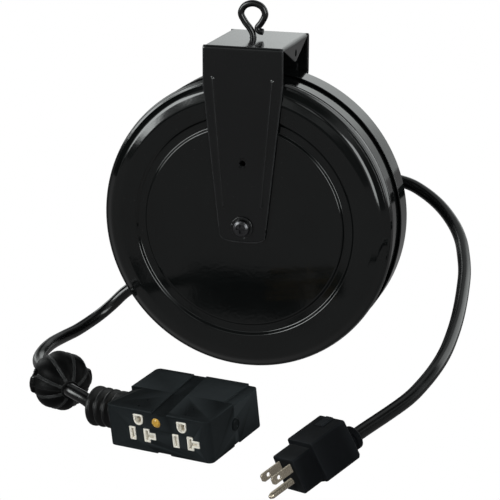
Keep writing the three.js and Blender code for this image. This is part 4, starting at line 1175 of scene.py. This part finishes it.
# ---- Stage ----
def white_to_camera(tree, shader, output, strength=1.0):
    """Camera rays see plain white; all other rays see the shader."""
    path = tree.nodes.new("ShaderNodeLightPath")
    white = tree.nodes.new("ShaderNodeBackground" if shader.type == "BACKGROUND" else "ShaderNodeEmission")
    white.inputs["Color"].default_value = (1, 1, 1, 1)
    white.inputs["Strength"].default_value = strength
    mix = tree.nodes.new("ShaderNodeMixShader")
    tree.links.new(path.outputs["Is Camera Ray"], mix.inputs["Fac"])
    tree.links.new(shader.outputs[0], mix.inputs[1])
    tree.links.new(white.outputs[0], mix.inputs[2])
    tree.links.new(mix.outputs[0], output.inputs["Surface"])


def floor():
    size, z = 6.0, -0.42
    mesh = bpy.data.meshes.new("floor")
    mesh.from_pydata([(-size, -size, z), (size, -size, z), (size, size, z), (-size, size, z)], [],
                     [(0, 1, 2, 3)])
    obj = bpy.data.objects.new("floor", mesh)
    bpy.context.scene.collection.objects.link(obj)
    material = bpy.data.materials.new("floor")
    material.use_nodes = True
    tree = material.node_tree
    tree.nodes.remove(tree.nodes["Principled BSDF"])
    shader = tree.nodes.new("ShaderNodeEmission")
    shader.inputs["Strength"].default_value = FLOOR_LIGHT
    white_to_camera(tree, shader, tree.nodes["Material Output"])
    mesh.materials.append(material)


# Studio panels: azimuth from straight ahead of the case towards its right, elevation, half sizes and edge
# softness in degrees, then radiance.
FLOOR_LIGHT = 0.22
AMBIENT = 0.5
PANELS = (
    (-50, 18, 10.5, 15, 2, 8.0),
    (-36, 24, 4, 10, 2, 8.0),
    (43, 15, 10.5, 16, 2, 6.0),
    (8, 28, 5, 6, 2, 1.2),
    (132, 18, 20, 42, 8, 1.9),
    (-178, 4, 17, 22, 5, 0.75),
    (-126, 25, 10, 20, 5, 2.6),
)
SHADES = (
    (-94, 16, 24, 40, 5, 0.97),
    (-42, -4, 23, 8, 2, 0.93),
    (2, 2, 18, 8, 3, 0.85),
    (10, 28, 13, 14, 4, 0.9),
    (72, 4, 15, 32, 4, 0.85),
    (-152, 36, 14, 20, 5, 0.9),
    (0, 80, 125, 34, 8, 0.88),
    (0, -60, 180, 32, 8, 0.5),
)


def flag(name, x0, x1, y, z0, z1):
    """Black card out of the camera's sight, for a dark patch low in the enamel's reflection."""
    corners = [metres(c) for c in ((x0, y, z0), (x1, y, z0), (x1, y, z1), (x0, y, z1))]
    mesh = bpy.data.meshes.new(name)
    mesh.from_pydata(corners, [], [(0, 1, 2, 3)])
    obj = bpy.data.objects.new(name, mesh)
    bpy.context.scene.collection.objects.link(obj)
    material = bpy.data.materials.new(name)
    material.use_nodes = True
    material.node_tree.nodes["Principled BSDF"].inputs["Base Color"].default_value = (0.001, 0.001, 0.001, 1)
    mesh.materials.append(material)
    obj.visible_camera = obj.visible_diffuse = obj.visible_shadow = False


def studio():
    """World whose light comes from soft panels; the camera sees plain white."""
    world = bpy.data.worlds.new("studio")
    bpy.context.scene.world = world
    world.use_nodes = True
    tree = world.node_tree
    shader = tree.nodes["Background"]

    def math_node(operation, *values):
        node = tree.nodes.new("ShaderNodeMath")
        node.operation = operation
        for socket, value in zip(node.inputs, values):
            if isinstance(value, (int, float)):
                socket.default_value = value
            else:
                tree.links.new(value, socket)
        return node.outputs[0]

    coords = tree.nodes.new("ShaderNodeTexCoord")
    split = tree.nodes.new("ShaderNodeSeparateXYZ")
    tree.links.new(coords.outputs["Generated"], split.inputs[0])
    ahead = math_node("MULTIPLY", split.outputs["Y"], -1.0)
    azimuth = math_node("DEGREES", math_node("ARCTAN2", split.outputs["X"], ahead))
    elevation = math_node("DEGREES", math_node("ARCSINE", split.outputs["Z"]))

    def inside(azimuth_at, elevation_at, half_a, half_e, soft):
        """One inside a panel, nought outside."""
        turned = math_node("WRAP", math_node("SUBTRACT", azimuth, float(azimuth_at)), 180.0, -180.0)
        parts = []
        for value, half in ((turned, half_a), (math_node("SUBTRACT", elevation, float(elevation_at)), half_e)):
            ramp = tree.nodes.new("ShaderNodeMapRange")
            ramp.interpolation_type = "SMOOTHSTEP"
            for key, number in (("From Min", half + soft), ("From Max", half - soft), ("To Min", 0), ("To Max", 1)):
                ramp.inputs[key].default_value = number
            tree.links.new(math_node("ABSOLUTE", value), ramp.inputs["Value"])
            parts.append(ramp.outputs["Result"])
        return math_node("MULTIPLY", *parts)

    light = math_node("ADD", AMBIENT, 0.0)
    for *place, strength in SHADES:
        light = math_node("MULTIPLY", light, math_node("SUBTRACT", 1.0, math_node("MULTIPLY", inside(*place),
                          strength)))
    for *place, strength in PANELS:
        light = math_node("ADD", light, math_node("MULTIPLY", inside(*place), strength))
    shader.inputs["Color"].default_value = (0.96, 1.0, 0.99, 1)
    tree.links.new(light, shader.inputs["Strength"])
    white_to_camera(tree, shader, tree.nodes["World Output"])
    bpy.context.scene.view_settings.view_transform = "Standard"


def camera():
    azimuth, elevation, roll = math.radians(16.58), math.radians(15.43), math.radians(0.23)
    distance, focal = 1.58849, 1922.0 / 500
    back = Vector((math.sin(azimuth) * math.cos(elevation), -math.cos(azimuth) * math.cos(elevation),
                  math.sin(elevation)))
    right = Vector((math.cos(azimuth), math.sin(azimuth), 0))
    up = back.cross(right)
    right, up = right * math.cos(roll) + up * math.sin(roll), up * math.cos(roll) - right * math.sin(roll)
    look = (-back - right * math.tan(math.radians(0.178)) - up * math.tan(math.radians(1.038))).normalized()
    side = look.cross(up).normalized()
    data = bpy.data.cameras.new("camera")
    data.sensor_width, data.lens = 36.0, 36.0 * focal
    obj = bpy.data.objects.new("camera", data)
    obj.location = back * distance - Vector((0, 0, AXLE_DROP * MM))
    obj.rotation_mode = "QUATERNION"
    obj.rotation_quaternion = Matrix((side, side.cross(look), -look)).transposed().to_quaternion()
    bpy.context.scene.collection.objects.link(obj)
    bpy.context.scene.camera = obj


case_front()
case_rear()
case_fittings()
lead_relief()
bracket_sheet()
hanging_eye()
ball_stop()
outlet_box()
plug()
cords()
wound_cord()
main_spring()
inner_parts()
floor()
flag("flag_wide", -235, -98, -600, -272, -218)
flag("flag_narrow", -330, -290, -600, -272, -218)
studio()
camera()
